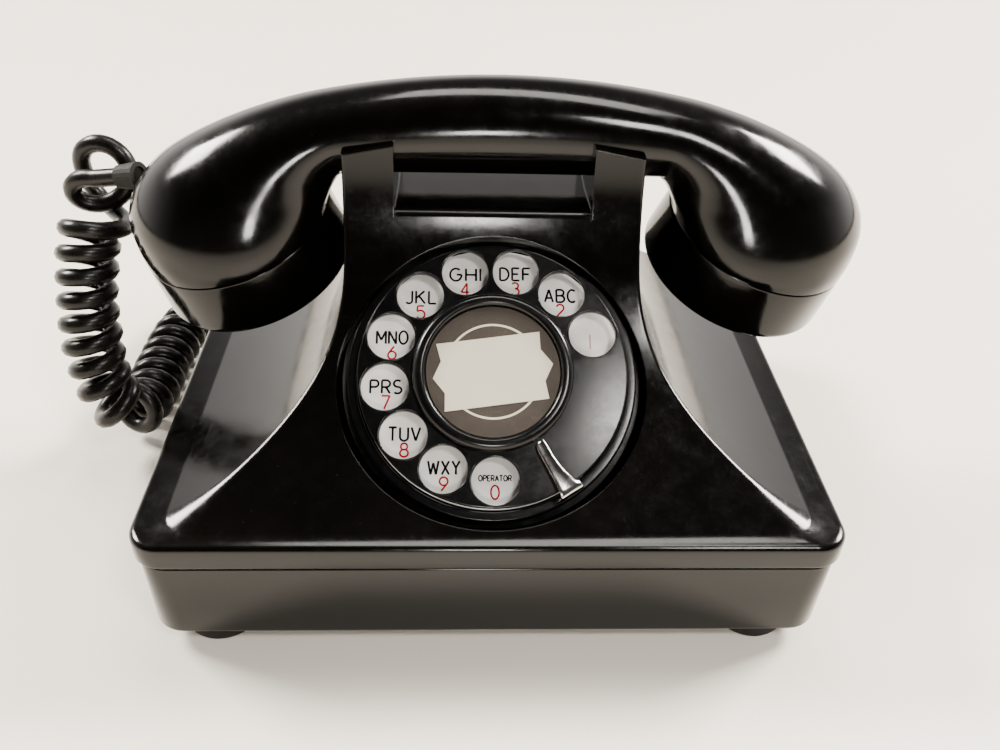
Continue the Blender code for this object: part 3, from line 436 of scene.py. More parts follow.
def circle(radius, z, steps, x=0.0, y=0.0):
    return [(x + radius * math.cos(math.tau * i / steps), y + radius * math.sin(math.tau * i / steps), z)
            for i in range(steps)]


def disc(name, radius, low, high, mat, matrix=None, steps=64, x=0.0, y=0.0):
    return loft(name, [circle(radius, low, steps, x, y), circle(radius, high, steps, x, y)], mat, matrix)


def rounded(corners, radius, steps=5):
    """Closed outline with every corner rounded by the radius, or by its own third value."""
    result = []
    for i, corner in enumerate(corners):
        here = Vector(corner[:2])
        r = corner[2] if len(corner) > 2 else radius
        before = Vector(corners[i - 1][:2]) - here
        after = Vector(corners[(i + 1) % len(corners)][:2]) - here
        r = min(r, before.length * 0.45, after.length * 0.45)
        start = here + before.normalized() * r
        end = here + after.normalized() * r
        for k in range(steps + 1):
            t = k / steps
            result.append(tuple(start * (1 - t) ** 2 + here * (2 * t * (1 - t)) + end * t ** 2))
    return result


def evaluated_mesh(obj):
    """New mesh of the object as its modifiers or its bevel leave it."""
    bpy.context.view_layer.update()
    graph = bpy.context.evaluated_depsgraph_get()
    return bpy.data.meshes.new_from_object(obj.evaluated_get(graph))


def carve(target, cutter):
    """Take the cutter's shape out of the target, and remove the cutter."""
    mod = target.modifiers.new("boolean", "BOOLEAN")
    mod.operation = "DIFFERENCE"
    mod.object = cutter
    mod.solver = "EXACT"
    result = evaluated_mesh(target)
    target.modifiers.clear()
    target.data = result
    bpy.data.objects.remove(cutter, do_unlink=True)


def tubes(name, lines, radius, resolution, mat, matrix=None):
    """Round tubes with closed ends along lines of points, as one object."""
    curve = bpy.data.curves.new(name, "CURVE")
    curve.dimensions = "3D"
    curve.bevel_depth = radius
    curve.bevel_resolution = resolution
    curve.use_fill_caps = True
    for line in lines:
        spline = curve.splines.new("POLY")
        spline.points.add(len(line) - 1)
        for item, point in zip(spline.points, line):
            item.co = (*point, 1.0)
    guide = link_object(name, curve)
    mesh = evaluated_mesh(guide)
    bpy.data.objects.remove(guide, do_unlink=True)
    if matrix is not None:
        mesh.transform(matrix)
    mesh.materials.clear()
    mesh.materials.append(mat)
    return link_object(name, mesh)


def place_piece(obj, body, node=None):
    """Let a piece ride on a body and stand for a CAD node."""
    if node:
        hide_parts(node)
    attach(obj, body)


def smooth_line(points, per_span):
    """Catmull-Rom curve through the points."""
    padded = [points[0] * 2 - points[1]] + points + [points[-1] * 2 - points[-2]]
    result = []
    for i in range(1, len(padded) - 2):
        p0, p1, p2, p3 = padded[i - 1:i + 3]
        for k in range(per_span):
            t = k / per_span
            line = 2 * p1 + (p2 - p0) * t
            bend = (2 * p0 - 5 * p1 + 4 * p2 - p3) * t ** 2
            twist = (3 * p1 - p0 - 3 * p2 + p3) * t ** 3
            result.append(0.5 * (line + bend + twist))
    result.append(padded[-2])
    return result


def dial_matrix():
    return Matrix.Translation((BASE_X, DIAL_Y, DIAL_Z)) @ Matrix.Rotation(DIAL_TILT, 4, "X")


def along_y(x, z):
    """Matrix whose local Z points to the back."""
    return Matrix.Translation((BASE_X + x, 0, z)) @ Matrix.Rotation(math.radians(-90), 4, "X")


def frame_matrix(origin, z_axis, x_axis):
    z = z_axis.normalized()
    x = (x_axis - z * x_axis.dot(z)).normalized()
    matrix = Matrix((x, z.cross(x), z)).transposed().to_4x4()
    matrix.translation = origin
    return matrix


# ---- cover and tray

def cover_outline(z):
    """Half width, front, back and corner radius of the cover's outside at height z."""
    if z <= SHOULDER_Z:
        over = max(0.0, z - (SHOULDER_Z - SHOULDER_R)) / SHOULDER_R
        under = max(0.0, COVER_LOW + SEAM_ROUND - z) / SEAM_ROUND
        pull = SHOULDER_R * (1 - math.sqrt(max(0.0, 1 - over ** 2)))
        pull += SEAM_ROUND * (1 - math.sqrt(max(0.0, 1 - under ** 2)))
        return BASE_HALF_W - pull, -BASE_HALF_D + pull, BASE_HALF_D - pull, BASE_CORNER_R
    side = max(0.0, (SIDE_TOP_Z - z) / (SIDE_TOP_Z - SWEEP_Z0))
    front = max(0.0, (NECK_TOP_Z - z) / (NECK_TOP_Z - SWEEP_Z0))
    back = max(0.0, (BACK_TOP_Z - z) / (BACK_TOP_Z - SWEEP_Z0))
    fade = max(0.0, 1.0 - (z - SWEEP_Z0) / (10.0 * MM))
    values = (NECK_HALF_W + SIDE_REACH * side ** SIDE_POWER,
              NECK_FRONT_Y - FRONT_REACH * front ** FRONT_POWER,
              NECK_BACK_Y + BACK_REACH * back ** BACK_POWER,
              CREASE_R + (BASE_CORNER_R - CREASE_R) * min(1, fade) ** 2)
    if z >= SWEEP_Z0:
        return values
    low = cover_outline(SHOULDER_Z)
    high = cover_outline(SWEEP_Z0)
    t = (z - SHOULDER_Z) / (SWEEP_Z0 - SHOULDER_Z)
    return tuple(a + (b - a) * t for a, b in zip(low, high))


def rounded_rect(half_w, front, back, radius, z, per_corner=9, per_side=10):
    """Ring of points round a rectangle with its sides divided, anticlockwise from above."""
    corners = ((half_w - radius, front + radius, -90), (half_w - radius, back - radius, 0),
               (-half_w + radius, back - radius, 90), (-half_w + radius, front + radius, 180))
    bends = []
    for cx, cy, start in corners:
        turns = [math.radians(start + 90 * i / (per_corner - 1)) for i in range(per_corner)]
        bends.append([Vector((BASE_X + cx + radius * math.cos(a), cy + radius * math.sin(a),
                              z)) for a in turns])
    points = []
    for bend, following in zip(bends, bends[1:] + bends[:1]):
        points += bend
        points += [bend[-1].lerp(following[0], i / per_side) for i in range(1, per_side)]
    return points


def base_ring(inset, z):
    """The base's own outline, pulled in by the inset."""
    return rounded_rect(BASE_HALF_W - inset, -BASE_HALF_D + inset, BASE_HALF_D - inset, BASE_CORNER_R, z)


def cover_heights():
    """Slices of the cover: close together where the shape turns quickly."""
    heights = [COVER_LOW + SEAM_ROUND * (1 - math.cos(math.radians(a))) for a in range(0, 91, 18)]
    heights.append((TRAY_TOP_Z + SHOULDER_Z) / 2)
    heights += [SHOULDER_Z - SHOULDER_R + SHOULDER_R * math.sin(math.radians(a)) for a in range(0, 91, 15)]
    steps = 46
    heights += [SWEEP_Z0 + (NECK_TOP_Z - SWEEP_Z0) * (i / steps) ** 1.5 for i in range(steps + 1)]
    return heights


def distance_outside(point):
    """How far a point lies outside the cover's outline at its own height."""
    half_w, front, back, radius = cover_outline(point.z)
    middle = (front + back) / 2
    dx = abs(point.x - BASE_X) - (half_w - radius)
    dy = abs(point.y - middle) - ((back - front) / 2 - radius)
    corner = math.hypot(max(dx, 0.0), max(dy, 0.0))
    return corner + min(max(dx, dy), 0.0) - radius


def outside_normal(point, step=0.05 * MM):
    gradient = Vector()
    for axis in range(3):
        offset = Vector((0, 0, 0))
        offset[axis] = step
        gradient[axis] = distance_outside(point + offset) - distance_outside(point - offset)
    return gradient.normalized()


def true_normals(obj):
    """Give the cover's outside the shape's own normals, so its reflections don't show how it is meshed."""
    mesh = obj.data
    normals = [Vector(corner.vector) for corner in mesh.corner_normals]
    for face in mesh.polygons:
        for index in face.loop_indices:
            point = mesh.vertices[mesh.loops[index].vertex_index].co
            if not SWEEP_Z0 - 1.5 * MM < point.z < NECK_TOP_Z - 0.1 * MM:
                continue
            if abs(distance_outside(point)) > 0.15 * MM:
                continue
            normal = outside_normal(point)
            if normal.dot(face.normal) > 0.8:
                normals[index] = normal
    mesh.normals_split_custom_set(normals)


def handle_rise(x):
    """How far the arched handle's middle stands above its ends, at x from the middle."""
    return max(0.0, HANDLE_ARCH * (1 - (x / HANDLE_HALF_L) ** 2))


def handle_section(x, clear=0.0):
    """Oval section of the handle at x from its own middle."""
    rise = handle_rise(x)
    points = []
    for i in range(HANDSET_SIDES):
        a = math.tau * i / HANDSET_SIDES
        points.append(Vector((x, HANDLE_Y + (HANDLE_HALF_D + clear) * math.cos(a),
                              HANDLE_Z + rise + (HANDLE_HALF_H + rise + clear) * math.sin(a))))
    return points


def gap_cutter(mat):
    """The hand's space between the prongs, with the rounded shelf as its floor."""
    edge = SHELF_EDGE_R
    low = SHELF_Z - edge
    front = cover_outline(low)[1]
    back = cover_outline(low)[2]
    outline = [(-60 * MM, low), (front, low)]
    for i in range(1, 13):
        a = math.radians(180 - 90 * i / 12)
        outline.append((front + edge + edge * math.cos(a), low + edge * math.sin(a)))
    outline.append(((front + back) / 2, SHELF_Z - 1.2 * MM))
    for i in range(12):
        a = math.radians(90 - 90 * i / 12)
        outline.append((back - edge + edge * math.cos(a), low + edge * math.sin(a)))
    outline += [(back, low), (100 * MM, low), (100 * MM, 200 * MM), (-60 * MM, 200 * MM)]
    rings = [[(BASE_X + x, y, z) for y, z in outline] for x in (-PRONG_INNER_X, PRONG_INNER_X)]
    return loft("gap_cutter", rings, mat)


def seat_cutter(mat):
    half = NECK_HALF_W + 12 * MM
    rings = []
    for i in range(41):
        x = -half + 2 * half * i / 40
        rings.append([(p.x, p.y, max(p.z, NECK_TOP_Z + 8 * MM) if p.z >= HANDLE_Z else p.z)
                      for p in handle_section(x, SEAT_CLEAR)])
    return loft("seat_cutter", rings, mat)


def prong_top_cutter(side, mat):
    outer_x = BASE_X + side * (NECK_HALF_W + 3 * MM)
    inner_x = BASE_X + side * (PRONG_INNER_X - 3 * MM)
    top = [(outer_x, PRONG_TOP_OUTER_Z), (inner_x, PRONG_TOP_INNER_Z), (inner_x, 0.15), (outer_x, 0.15)]
    return loft("prong_top_cutter", [[(x, y, z) for x, z in top] for y in (-0.03, 0.06)], mat)


def opening_cutter(mat):
    """Oval prism that opens the cover over the dial."""
    oval = [(x * OPENING_A, OPENING_SHIFT + y * OPENING_B) for x, y, h in circle(1.0, 0, 160)]
    return loft("opening", [[(x, y, h) for x, y in oval] for h in (-30 * MM, 70 * MM)], mat, dial_matrix())


def make_cover(mats):
    mat = mats["bakelite_cover"]
    cover = loft("cover", [rounded_rect(*cover_outline(z), z) for z in cover_heights()], mat)
    carve(cover, opening_cutter(mat))
    for cutter in (gap_cutter(mat), seat_cutter(mat), prong_top_cutter(-1, mat), prong_top_cutter(1, mat)):
        carve(cover, cutter)
    for side in (-1, 1):
        place = Matrix.Translation((BASE_X + side * PLUNGER_X, HANDLE_Y, 0))
        carve(cover, disc("hole", PLUNGER_R + GAP, 90 * MM, NECK_TOP_Z, mat, place, 32))
    smooth_shading(cover.data, 28)
    true_normals(cover)
    place_piece(cover, "telephone", "cover_shell")


def make_tray(mats):
    """Tray with a rounded edge below and at the seam, and a lip that goes inside the cover."""
    mat = mats["bakelite"]
    quarter = [math.radians(90 * i / 6) for i in range(7)]
    rings = [(FOOT_H + TRAY_EDGE_R * (1 - math.cos(a)), TRAY_EDGE_R * (1 - math.sin(a))) for a in quarter]
    rings.append((FOOT_H + 0.5 * (TRAY_TOP_Z - FOOT_H), 0.0))
    rings += [(TRAY_TOP_Z - SEAM_ROUND * (1 - math.sin(a)),
               SEAM_ROUND * (1 - math.cos(a))) for a in quarter]
    outline = []
    for z, pull in rings:
        inset = TRAY_INSET + TRAY_TAPER * (TRAY_TOP_Z - z) / (TRAY_TOP_Z - FOOT_H) + pull
        outline.append(base_ring(inset, z))
    outline += [base_ring(LIP_INSET, z) for z in (TRAY_TOP_Z, TRAY_TOP_Z + LIP_H)]
    tray = loft("tray", outline, mat)
    for x in (CORD_BUSH_X, -CORD_BUSH_X):
        place = along_y(x, CORD_BUSH_Z)
        carve(tray, disc("hole", BUSH_R + GAP, BASE_HALF_D - 12 * MM, BASE_HALF_D + 5 * MM, mat, place, 40))
    smooth_shading(tray.data)
    place_piece(tray, "telephone", "base_tray")


def make_feet(mats):
    top = FOOT_H - GAP
    profile = rounded([
        (2.0 * MM, 2.4 * MM), (4.0 * MM, 2.4 * MM), (4.0 * MM, 0), (FOOT_R - 0.6 * MM, 0, 1.2 * MM),
        (FOOT_R, top, 0.8 * MM), (2.0 * MM, top)], 0.3 * MM)
    for label, x, y in (("front_left", -1, -1), ("front_right", 1, -1), ("rear_left", -1, 1),
                        ("rear_right", 1, 1)):
        place = Matrix.Translation((BASE_X + x * FOOT_X, y * FOOT_Y, 0))
        foot = turned("rubber_foot_" + label, profile, mats["rubber"], place, 64)
        place_piece(foot, "telephone", "foot_" + label)


# ---- dial

def hole_centre(i):
    """Place of a finger hole on the wheel, counted from the first at the right."""
    a = FIRST_HOLE_ANGLE + HOLE_PITCH * i
    return HOLE_CIRCLE_R * math.cos(a), HOLE_CIRCLE_R * math.sin(a)


def make_dial(mats):
    place = dial_matrix()
    bore = SHAFT_R + GAP
    black = mats["black_metal"]
    inside = CASE_R - CASE_WALL
    low = CASE_TOP - 3.2 * MM
    high = CASE_TOP - 2.0 * MM
    case = turned("dial_case_turned", rounded([
        (bore, -CASE_DEPTH), (CASE_R, -CASE_DEPTH), (CASE_R, low), (FLANGE_R, low), (FLANGE_R, high),
        (CASE_R, high),
        (CASE_R, CASE_TOP), (inside, CASE_TOP), (inside, CASE_WALL - CASE_DEPTH),
        (bore, CASE_WALL - CASE_DEPTH)],
        0.3 * MM, 2), black, place)
    place_piece(case, "telephone", "dial_case")

    bezel = turned("bezel_ring", rounded([
        (WHEEL_R + 0.5 * MM, CASE_TOP + GAP), (BEZEL_R, CASE_TOP + GAP), (BEZEL_R, BEZEL_TOP, 0.7 * MM),
        (WHEEL_R + 0.5 * MM, BEZEL_TOP, 0.5 * MM)], 0.2 * MM), black, place, 128)
    place_piece(bezel, "telephone", "dial_bezel")

    plate = turned("enamel_ring", rounded([
        (bore, PLATE_TOP - PLATE_T), (WHEEL_R, PLATE_TOP - PLATE_T), (WHEEL_R, PLATE_TOP, 0.3 * MM),
        (bore, PLATE_TOP)], 0.1 * MM, 3), mats["plate"], place)
    place_piece(plate, "telephone", "number_plate")

    make_wheel(mats["black_wheel"], place, bore)
    make_card(mats, place)
    make_lettering(mats, place)
    make_stop(mats, place)


def make_wheel(mat, place, bore):
    """Finger wheel with a thin raised lip round each hole."""
    wheel = turned("wheel", rounded([
        (bore, -WHEEL_T), (WHEEL_R, -WHEEL_T), (WHEEL_R, 0, 0.5 * MM), (bore, 0)], 0.25 * MM, 4), mat, None,
                   160)
    for i in range(HOLE_COUNT):
        carve(wheel, disc("hole", HOLE_R, -3 * WHEEL_T, 2 * WHEEL_T, mat, None, 64, *hole_centre(i)))
    wheel.data.transform(place)
    smooth_shading(wheel.data)
    place_piece(wheel, "dial_wheel", "finger_wheel")
    inner = HOLE_R - 0.05 * MM
    outer = HOLE_R + 0.5 * MM
    low = -WHEEL_T + 0.1 * MM
    outline = rounded([(inner, low), (outer, low), (outer, 0.12 * MM, 0.2 * MM),
                       (inner, 0.05 * MM, 0.3 * MM)],
                      0.05 * MM, 3)
    for i in range(HOLE_COUNT):
        centre = Matrix.Translation((*hole_centre(i), 0))
        lip = turned("hole_lip_%d" % (i + 1), outline, mat, place @ centre, 64)
        place_piece(lip, "dial_wheel")


def make_card(mats, place):
    top = 2.8 * MM
    ring = turned("card_rim", rounded([
        (CARD_R, GAP), (RING_OUTER_R, GAP, 0.4 * MM), (RING_OUTER_R, 1.7 * MM, 0.8 * MM),
        (RING_OUTER_R - 1.3 * MM, top, 0.8 * MM), (CARD_R + 0.7 * MM, top, 0.5 * MM),
        (CARD_R, 2.0 * MM, 0.3 * MM)],
        0.1 * MM, 4), mats["black_metal"], place, 128)
    place_piece(ring, "dial_wheel", "card_ring")

    card_top = 1.2 * MM
    card = disc("brown_card", CARD_R - GAP, 0.9 * MM, card_top, mats["card"], place, 96)
    place_piece(card, "dial_wheel", "number_card")
    ink_top = card_top + 0.03 * MM
    line = turned("card_line", [(13.1 * MM, card_top), (13.7 * MM, card_top), (13.7 * MM, ink_top),
                                (13.1 * MM, ink_top)], mats["label"], place)
    place_piece(line, "dial_wheel")
    outline = [(14.4, 9.7), (-14.8, 9.7), (-14.1, 4.6), (-16.9, 0), (-14.1, -4.6), (-14.8, -9.7),
               (14.4, -9.7),
               (14.0, -4.6), (16.9, 0), (14.0, 4.6)]
    turn = place @ Matrix.Rotation(math.radians(7.6), 4, "Z")
    label = loft("paper_label", [[(x * MM, y * MM, card_top + h * MM) for x, y in outline] for h in (0.04,
        0.12)],
                 mats["label"], turn)
    place_piece(label, "dial_wheel")

    low = card_top + 0.3 * MM
    edge = CARD_R - GAP
    dome = [circle(edge, low, 96)]
    for i in range(9):
        r = edge * (1 - i / 9)
        dome.append(circle(max(r, 0.2 * MM), low + 0.45 * MM + 0.35 * MM * (1 - (r / edge) ** 2), 96))
    window = loft("window_dome", dome, mats["window"], place, sharp=50)
    place_piece(window, "dial_wheel", "card_window")


def arc(x, y, rx, ry, first, last):
    """Points along part of an ellipse, in whole degrees, either way round."""
    steps = max(4, round(abs(last - first) / 15))
    turns = [math.radians(first + (last - first) * i / steps) for i in range(steps + 1)]
    return [(x + rx * math.cos(a), y + ry * math.sin(a)) for a in turns]


# Single-line letters and digits, one unit high: a list of strokes for each.
STROKES = {
    "A": [[(0, 0), (0.3, 1), (0.6, 0)], [(0.1, 0.33), (0.5, 0.33)]],
    "B": [[(0, 0), (0, 1)] + arc(0.3, 0.76, 0.24, 0.24, 90, -90) + [(0, 0.52)],
          arc(0.3, 0.26, 0.28, 0.26, 90, -90) + [(0, 0)]],
    "C": [arc(0.32, 0.5, 0.32, 0.5, 50, 310)],
    "D": [[(0, 0), (0, 1)] + arc(0.22, 0.5, 0.38, 0.5, 90, -90) + [(0, 0)]],
    "E": [[(0.5, 1), (0, 1), (0, 0), (0.5, 0)], [(0, 0.52), (0.42, 0.52)]],
    "F": [[(0.5, 1), (0, 1), (0, 0)], [(0, 0.52), (0.42, 0.52)]],
    "G": [arc(0.32, 0.5, 0.32, 0.5, 50, 360) + [(0.36, 0.5)]],
    "H": [[(0, 0), (0, 1)], [(0.56, 0), (0.56, 1)], [(0, 0.5), (0.56, 0.5)]],
    "I": [[(0, 0), (0, 1)]],
    "J": [[(0.4, 1)] + arc(0.2, 0.22, 0.2, 0.22, 0, -150)],
    "K": [[(0, 0), (0, 1)], [(0.52, 1), (0, 0.42)], [(0.18, 0.6), (0.56, 0)]],
    "L": [[(0, 1), (0, 0), (0.46, 0)]],
    "M": [[(0, 0), (0, 1), (0.35, 0.3), (0.7, 1), (0.7, 0)]],
    "N": [[(0, 0), (0, 1), (0.56, 0), (0.56, 1)]],
    "O": [arc(0.33, 0.5, 0.33, 0.5, 0, 360)],
    "P": [[(0, 0), (0, 1)] + arc(0.3, 0.74, 0.26, 0.26, 90, -90) + [(0, 0.48)]],
    "R": [[(0, 0), (0, 1)] + arc(0.3, 0.74, 0.26, 0.26, 90, -90) + [(0, 0.48)], [(0.28, 0.48), (0.56, 0)]],
    "S": [arc(0.28, 0.75, 0.26, 0.25, 40, 270) + arc(0.28, 0.25, 0.28, 0.25, 90, -140)],
    "T": [[(0, 1), (0.56, 1)], [(0.28, 1), (0.28, 0)]],
    "U": [[(0, 1)] + arc(0.28, 0.28, 0.28, 0.28, 180, 360) + [(0.56, 1)]],
    "V": [[(0, 1), (0.3, 0), (0.6, 1)]],
    "W": [[(0, 1), (0.2, 0), (0.4, 0.85), (0.6, 0), (0.8, 1)]],
    "X": [[(0, 1), (0.56, 0)], [(0, 0), (0.56, 1)]],
    "Y": [[(0, 1), (0.28, 0.5), (0.56, 1)], [(0.28, 0.5), (0.28, 0)]],
    "0": [arc(0.3, 0.5, 0.3, 0.5, 0, 360)],
    "1": [[(0, 0), (0, 1)]],
    "2": [arc(0.29, 0.72, 0.28, 0.28, 160, -30) + [(0, 0), (0.58, 0)]],
    "3": [arc(0.28, 0.76, 0.25, 0.24, 150, -90), arc(0.28, 0.27, 0.3, 0.27, 90, -150)],
    "4": [[(0.42, 0), (0.42, 1), (0, 0.28), (0.58, 0.28)]],
    "5": [[(0.52, 1), (0.06, 1), (0.02, 0.56)] + arc(0.27, 0.32, 0.3, 0.32, 125, -150)],
    "6": [[(0.46, 1), (0.054, 0.472)], arc(0.3, 0.3, 0.3, 0.3, 0, 360)],
    "7": [[(0, 1), (0.56, 1), (0.18, 0)]],
    "8": [arc(0.3, 0.76, 0.24, 0.24, 0, 360), arc(0.3, 0.27, 0.3, 0.27, 0, 360)],
    "9": [[(0.14, 0), (0.546, 0.528)], arc(0.3, 0.7, 0.3, 0.3, 0, 360)],
}
LETTER_SPACE = 0.24


def split_corners(line):
    """Separate strokes at each sharp corner, where one bent tube would pinch."""
    runs = [[line[0]]]
    for i in range(1, len(line) - 1):
        runs[-1].append(line[i])
        before = Vector(line[i]) - Vector(line[i - 1])
        after = Vector(line[i + 1]) - Vector(line[i])
        if before.length and after.length and before.angle(after) > math.radians(35):
            runs.append([line[i]])
    runs[-1].append(line[-1])
    return runs


def text_piece(name, words, height, width, weight, mat, matrix):
    """Printed lettering, centred, with its capital height, whole width and line weight set."""
    lines = []
    pen = 0.0
    for char in words:
        strokes = STROKES[char]
        for stroke in strokes:
            lines += split_corners([(x + pen, y - 0.5) for x, y in stroke])
        pen += max(x for stroke in strokes for x, y in stroke) + LETTER_SPACE
    whole = pen - LETTER_SPACE
    grow_x = (width - weight) / whole if whole else 1.0
    grow_y = height - weight
    placed = [[((x - whole / 2) * grow_x, y * grow_y, 0) for x, y in line] for line in lines]
    flat = Matrix.Diagonal((1, 1, 0.1, 1))
    place_piece(tubes(name, placed, weight / 2, 1, mat, matrix @ flat), "telephone")


def make_lettering(mats, place):
    """Letters over digits behind each hole, from 1 at the right round to 0."""
    letters = ["", "ABC", "DEF", "GHI", "JKL", "MNO", "PRS", "TUV", "WXY", "OPERATOR"]
    digits = "1234567890"
    level = PLATE_TOP + 0.03 * MM
    for i, (word, digit) in enumerate(zip(letters, digits)):
        x, y = hole_centre(i)
        if digit == "1":
            text_piece("digit_1", digit, 4.6 * MM, 0.3 * MM, 0.3 * MM, mats["pale_ink"],
                       place @ Matrix.Translation((x, y - 1.0 * MM, level)))
            continue
        small = digit == "0"
        height, weight, rise = (1.9, 0.36, 1.3) if small else (4.4, 0.62, 1.0)
        text_piece("letters_" + digit, word, height * MM, 9.4 * MM, weight * MM, mats["black_ink"],
                   place @ Matrix.Translation((x, y + rise * MM, level)))
        text_piece("digit_" + digit, digit, 4.3 * MM, 2.8 * MM, 0.52 * MM, mats["red_ink"],
                   place @ Matrix.Translation((x, y - (2.6 if small else 3.5) * MM, level)))


def make_stop(mats, place):
    """Chrome hook: a crowned blade from a folded foot on the bezel to a slim tip over the wheel."""
    turn = place @ Matrix.Rotation(STOP_ANGLE, 4, "Z")
    stations = [(23.5, 0.9, 1.25, 0.5), (23.9, 1.2, 1.3, 0.3), (25.5, 1.5, 1.4, 0.0),
                (28.5, 1.5, 1.55, -0.2),
                (32.0, 1.7, 1.8, -0.3), (35.5, 2.2, 2.0, -0.1), (38.2, 3.0, 2.0, 0.3),
                (39.6, 3.4, 1.6, 0.4),
                (40.2, 3.5, 0.6, 0.4), (40.3, 3.6, -1.5, 0.4), (40.3, 3.7, -3.9, 0.4)]
    line = smooth_line([Vector((r, side, h)) * MM for r, w, h, side in stations], 4)
    widths = smooth_line([Vector((w, 0, 0)) * MM for r, w, h, side in stations], 4)
    rings = []
    thick = 0.45 * MM
    for i, (point, width) in enumerate(zip(line, widths)):
        along = (line[min(i + 1, len(line) - 1)] - line[max(i - 1, 0)]).normalized()
        across = Vector((0, 1, 0))
        up = along.cross(across).normalized() * -1
        half = width.x * (0.45 if i == 0 else 0.8 if i == 1 else 1.0)
        ring = []
        for k in range(24):
            a = math.tau * k / 24
            c = math.copysign(abs(math.cos(a)) ** 0.7, math.cos(a))
            crown = 0.35 * MM * (1 - c * c)
            ring.append(point + across * (half * c) + up * (thick * math.sin(a) + crown))
        rings.append(ring)
    stop = loft("chrome_stop", rings, mats["chrome"], turn, sharp=60)
    place_piece(stop, "telephone", "finger_stop")


# ---- handset

def cup_frame(side):
    down = Vector((-side * math.sin(CUP_TILT), 0, -math.cos(CUP_TILT)))
    roll = Matrix.Rotation(CUP_ROLL, 3, "X")
    across = roll @ Vector((side * math.cos(CUP_TILT), 0, -math.sin(CUP_TILT)))
    return frame_matrix(Vector((side * CUP_X, HANDLE_Y, CUP_Z)), roll @ down, across)


def cup_lines(per_span=5):
    """Smooth outer and inner side lines of a cup, from its open face to the end of the handle."""
    lean = Vector((math.cos(CUP_TILT), 0, -math.sin(CUP_TILT)))
    face = Vector((CUP_X, 0, CUP_Z))
    lines = []
    for sign, middle in ((1, CUP_OUTER_LINE), (-1, CUP_INNER_LINE)):
        points = [face + lean * (CUP_R * sign)]
        points += [Vector((x, 0, z)) * MM for x, z in middle]
        points.append(Vector((HANDLE_HALF_L, 0, HANDLE_Z + HANDLE_HALF_H * sign)))
        x = HANDLE_HALF_L - 12 * MM
        beyond = Vector((x, 0, HANDLE_Z + sign * HANDLE_HALF_H + (1 + sign) * handle_rise(x)))
        line = smooth_line(points + [beyond], per_span)
        lines.append(line[:-per_span])
    return lines


def cup_sections(side):
    outer, inner = cup_lines()
    pivot = Vector((0, HANDLE_Y, CUP_Z))
    sections = []
    for i, (high, low) in enumerate(zip(outer, inner)):
        t = i / (len(outer) - 1)
        blend = t * t * (3 - 2 * t)
        half_wide = CUP_R + (HANDLE_HALF_D - CUP_R) * blend
        roll = Matrix.Rotation(CUP_ROLL * (1 - blend), 3, "X")
        ring = []
        for k in range(HANDSET_SIDES):
            a = math.tau * k / HANDSET_SIDES
            wide = Vector((0, half_wide * math.cos(a), 0))
            point = (high + low) / 2 + (high - low) / 2 * math.sin(a) + wide
            point = roll @ (point - Vector((0, 0, CUP_Z))) + pivot
            ring.append(Vector((side * point.x, point.y, point.z)))
        sections.append(ring)
    return sections


def make_handset(mats):
    mat = mats["bakelite"]
    middle = [handle_section(HANDLE_HALF_L * (i / 10 - 1)) for i in range(1, 20)]
    rings = cup_sections(-1) + middle + list(reversed(cup_sections(1)))
    shell = loft("handle_and_cups", rings, mat, sharp=60)
    place_piece(shell, "handset", "handset_shell")
    profile = rounded([
        (CUP_R - 3.0 * MM, CAP_SEAM, 0.1 * MM), (CUP_R, CAP_SEAM, 0.6 * MM),
        (CUP_R + 0.5 * MM, CAP_H * 0.35, 3.0 * MM),
        (CAP_RIM_R, CAP_H - 2.0 * MM, 2.0 * MM), (CAP_RIM_R - 1.4 * MM, CAP_H, 1.4 * MM),
        (CAP_RIM_R - 4.5 * MM, CAP_H, 1.5 * MM), (14 * MM, CAP_H - 2.5 * MM, 3.0 * MM),
        (1.6 * MM, CAP_H - 3.0 * MM, 0.3 * MM), (1.6 * MM, CAP_H - 5.0 * MM, 0.1 * MM),
        (CUP_R - 4 * MM, CAP_H - 5.0 * MM, 0.5 * MM)], 0.3 * MM, 6)
    for side, label in ((-1, "transmitter_cap"), (1, "receiver_cap")):
        cap = turned(label + "_turned", profile, mat, None, 128)
        for ring_r, count in ((6.0 * MM, 6), (11.0 * MM, 10)):
            for x, y, _ in circle(ring_r, 0, count):
                carve(cap, disc("hole", 1.5 * MM, CAP_H - 8 * MM, CAP_H + 2 * MM, mat, None, 24, x, y))
        cap.data.transform(cup_frame(side))
        smooth_shading(cap.data)
        place_piece(cap, "handset", label)


# ---- cord

def handset_exit():
    """Where the cord leaves the handset, and which way."""
    place = Vector((BASE_X - 107.2 * MM, HANDLE_Y + 9.0 * MM, 98.5 * MM))
    return place, Vector((-0.93, 0.30, -0.20)).normalized()


def cord_route():
    """The coil's middle line, from the base's bush round the left rear corner and up to the handset."""
    start, out = handset_exit()
    last = start + out * (9.8 * MM)
    middle = [(-62, 97, 18), (-75, 108, 12.5), (-98, 107, 10.6), (-115, 92, 10.4), (-121, 70, 10.4),
              (-123, 46, 10.4),
              (-122, 24, 10.6), (-124, 9, 14.5), (-128, 6, 25), (-130.5, 8, 38), (-131, 12, 53),
              (-129.5, 17, 69),
              (-127, 22, 82), (-122.5, 25.5, 91)]
    points = [Vector((CORD_BUSH_X + BASE_X, BASE_HALF_D + 7.6 * MM, CORD_BUSH_Z))]
    points += [Vector((BASE_X + x * MM, y * MM, z * MM)) for x, y, z in middle]
    return points + [last + out * (5 * MM), last]


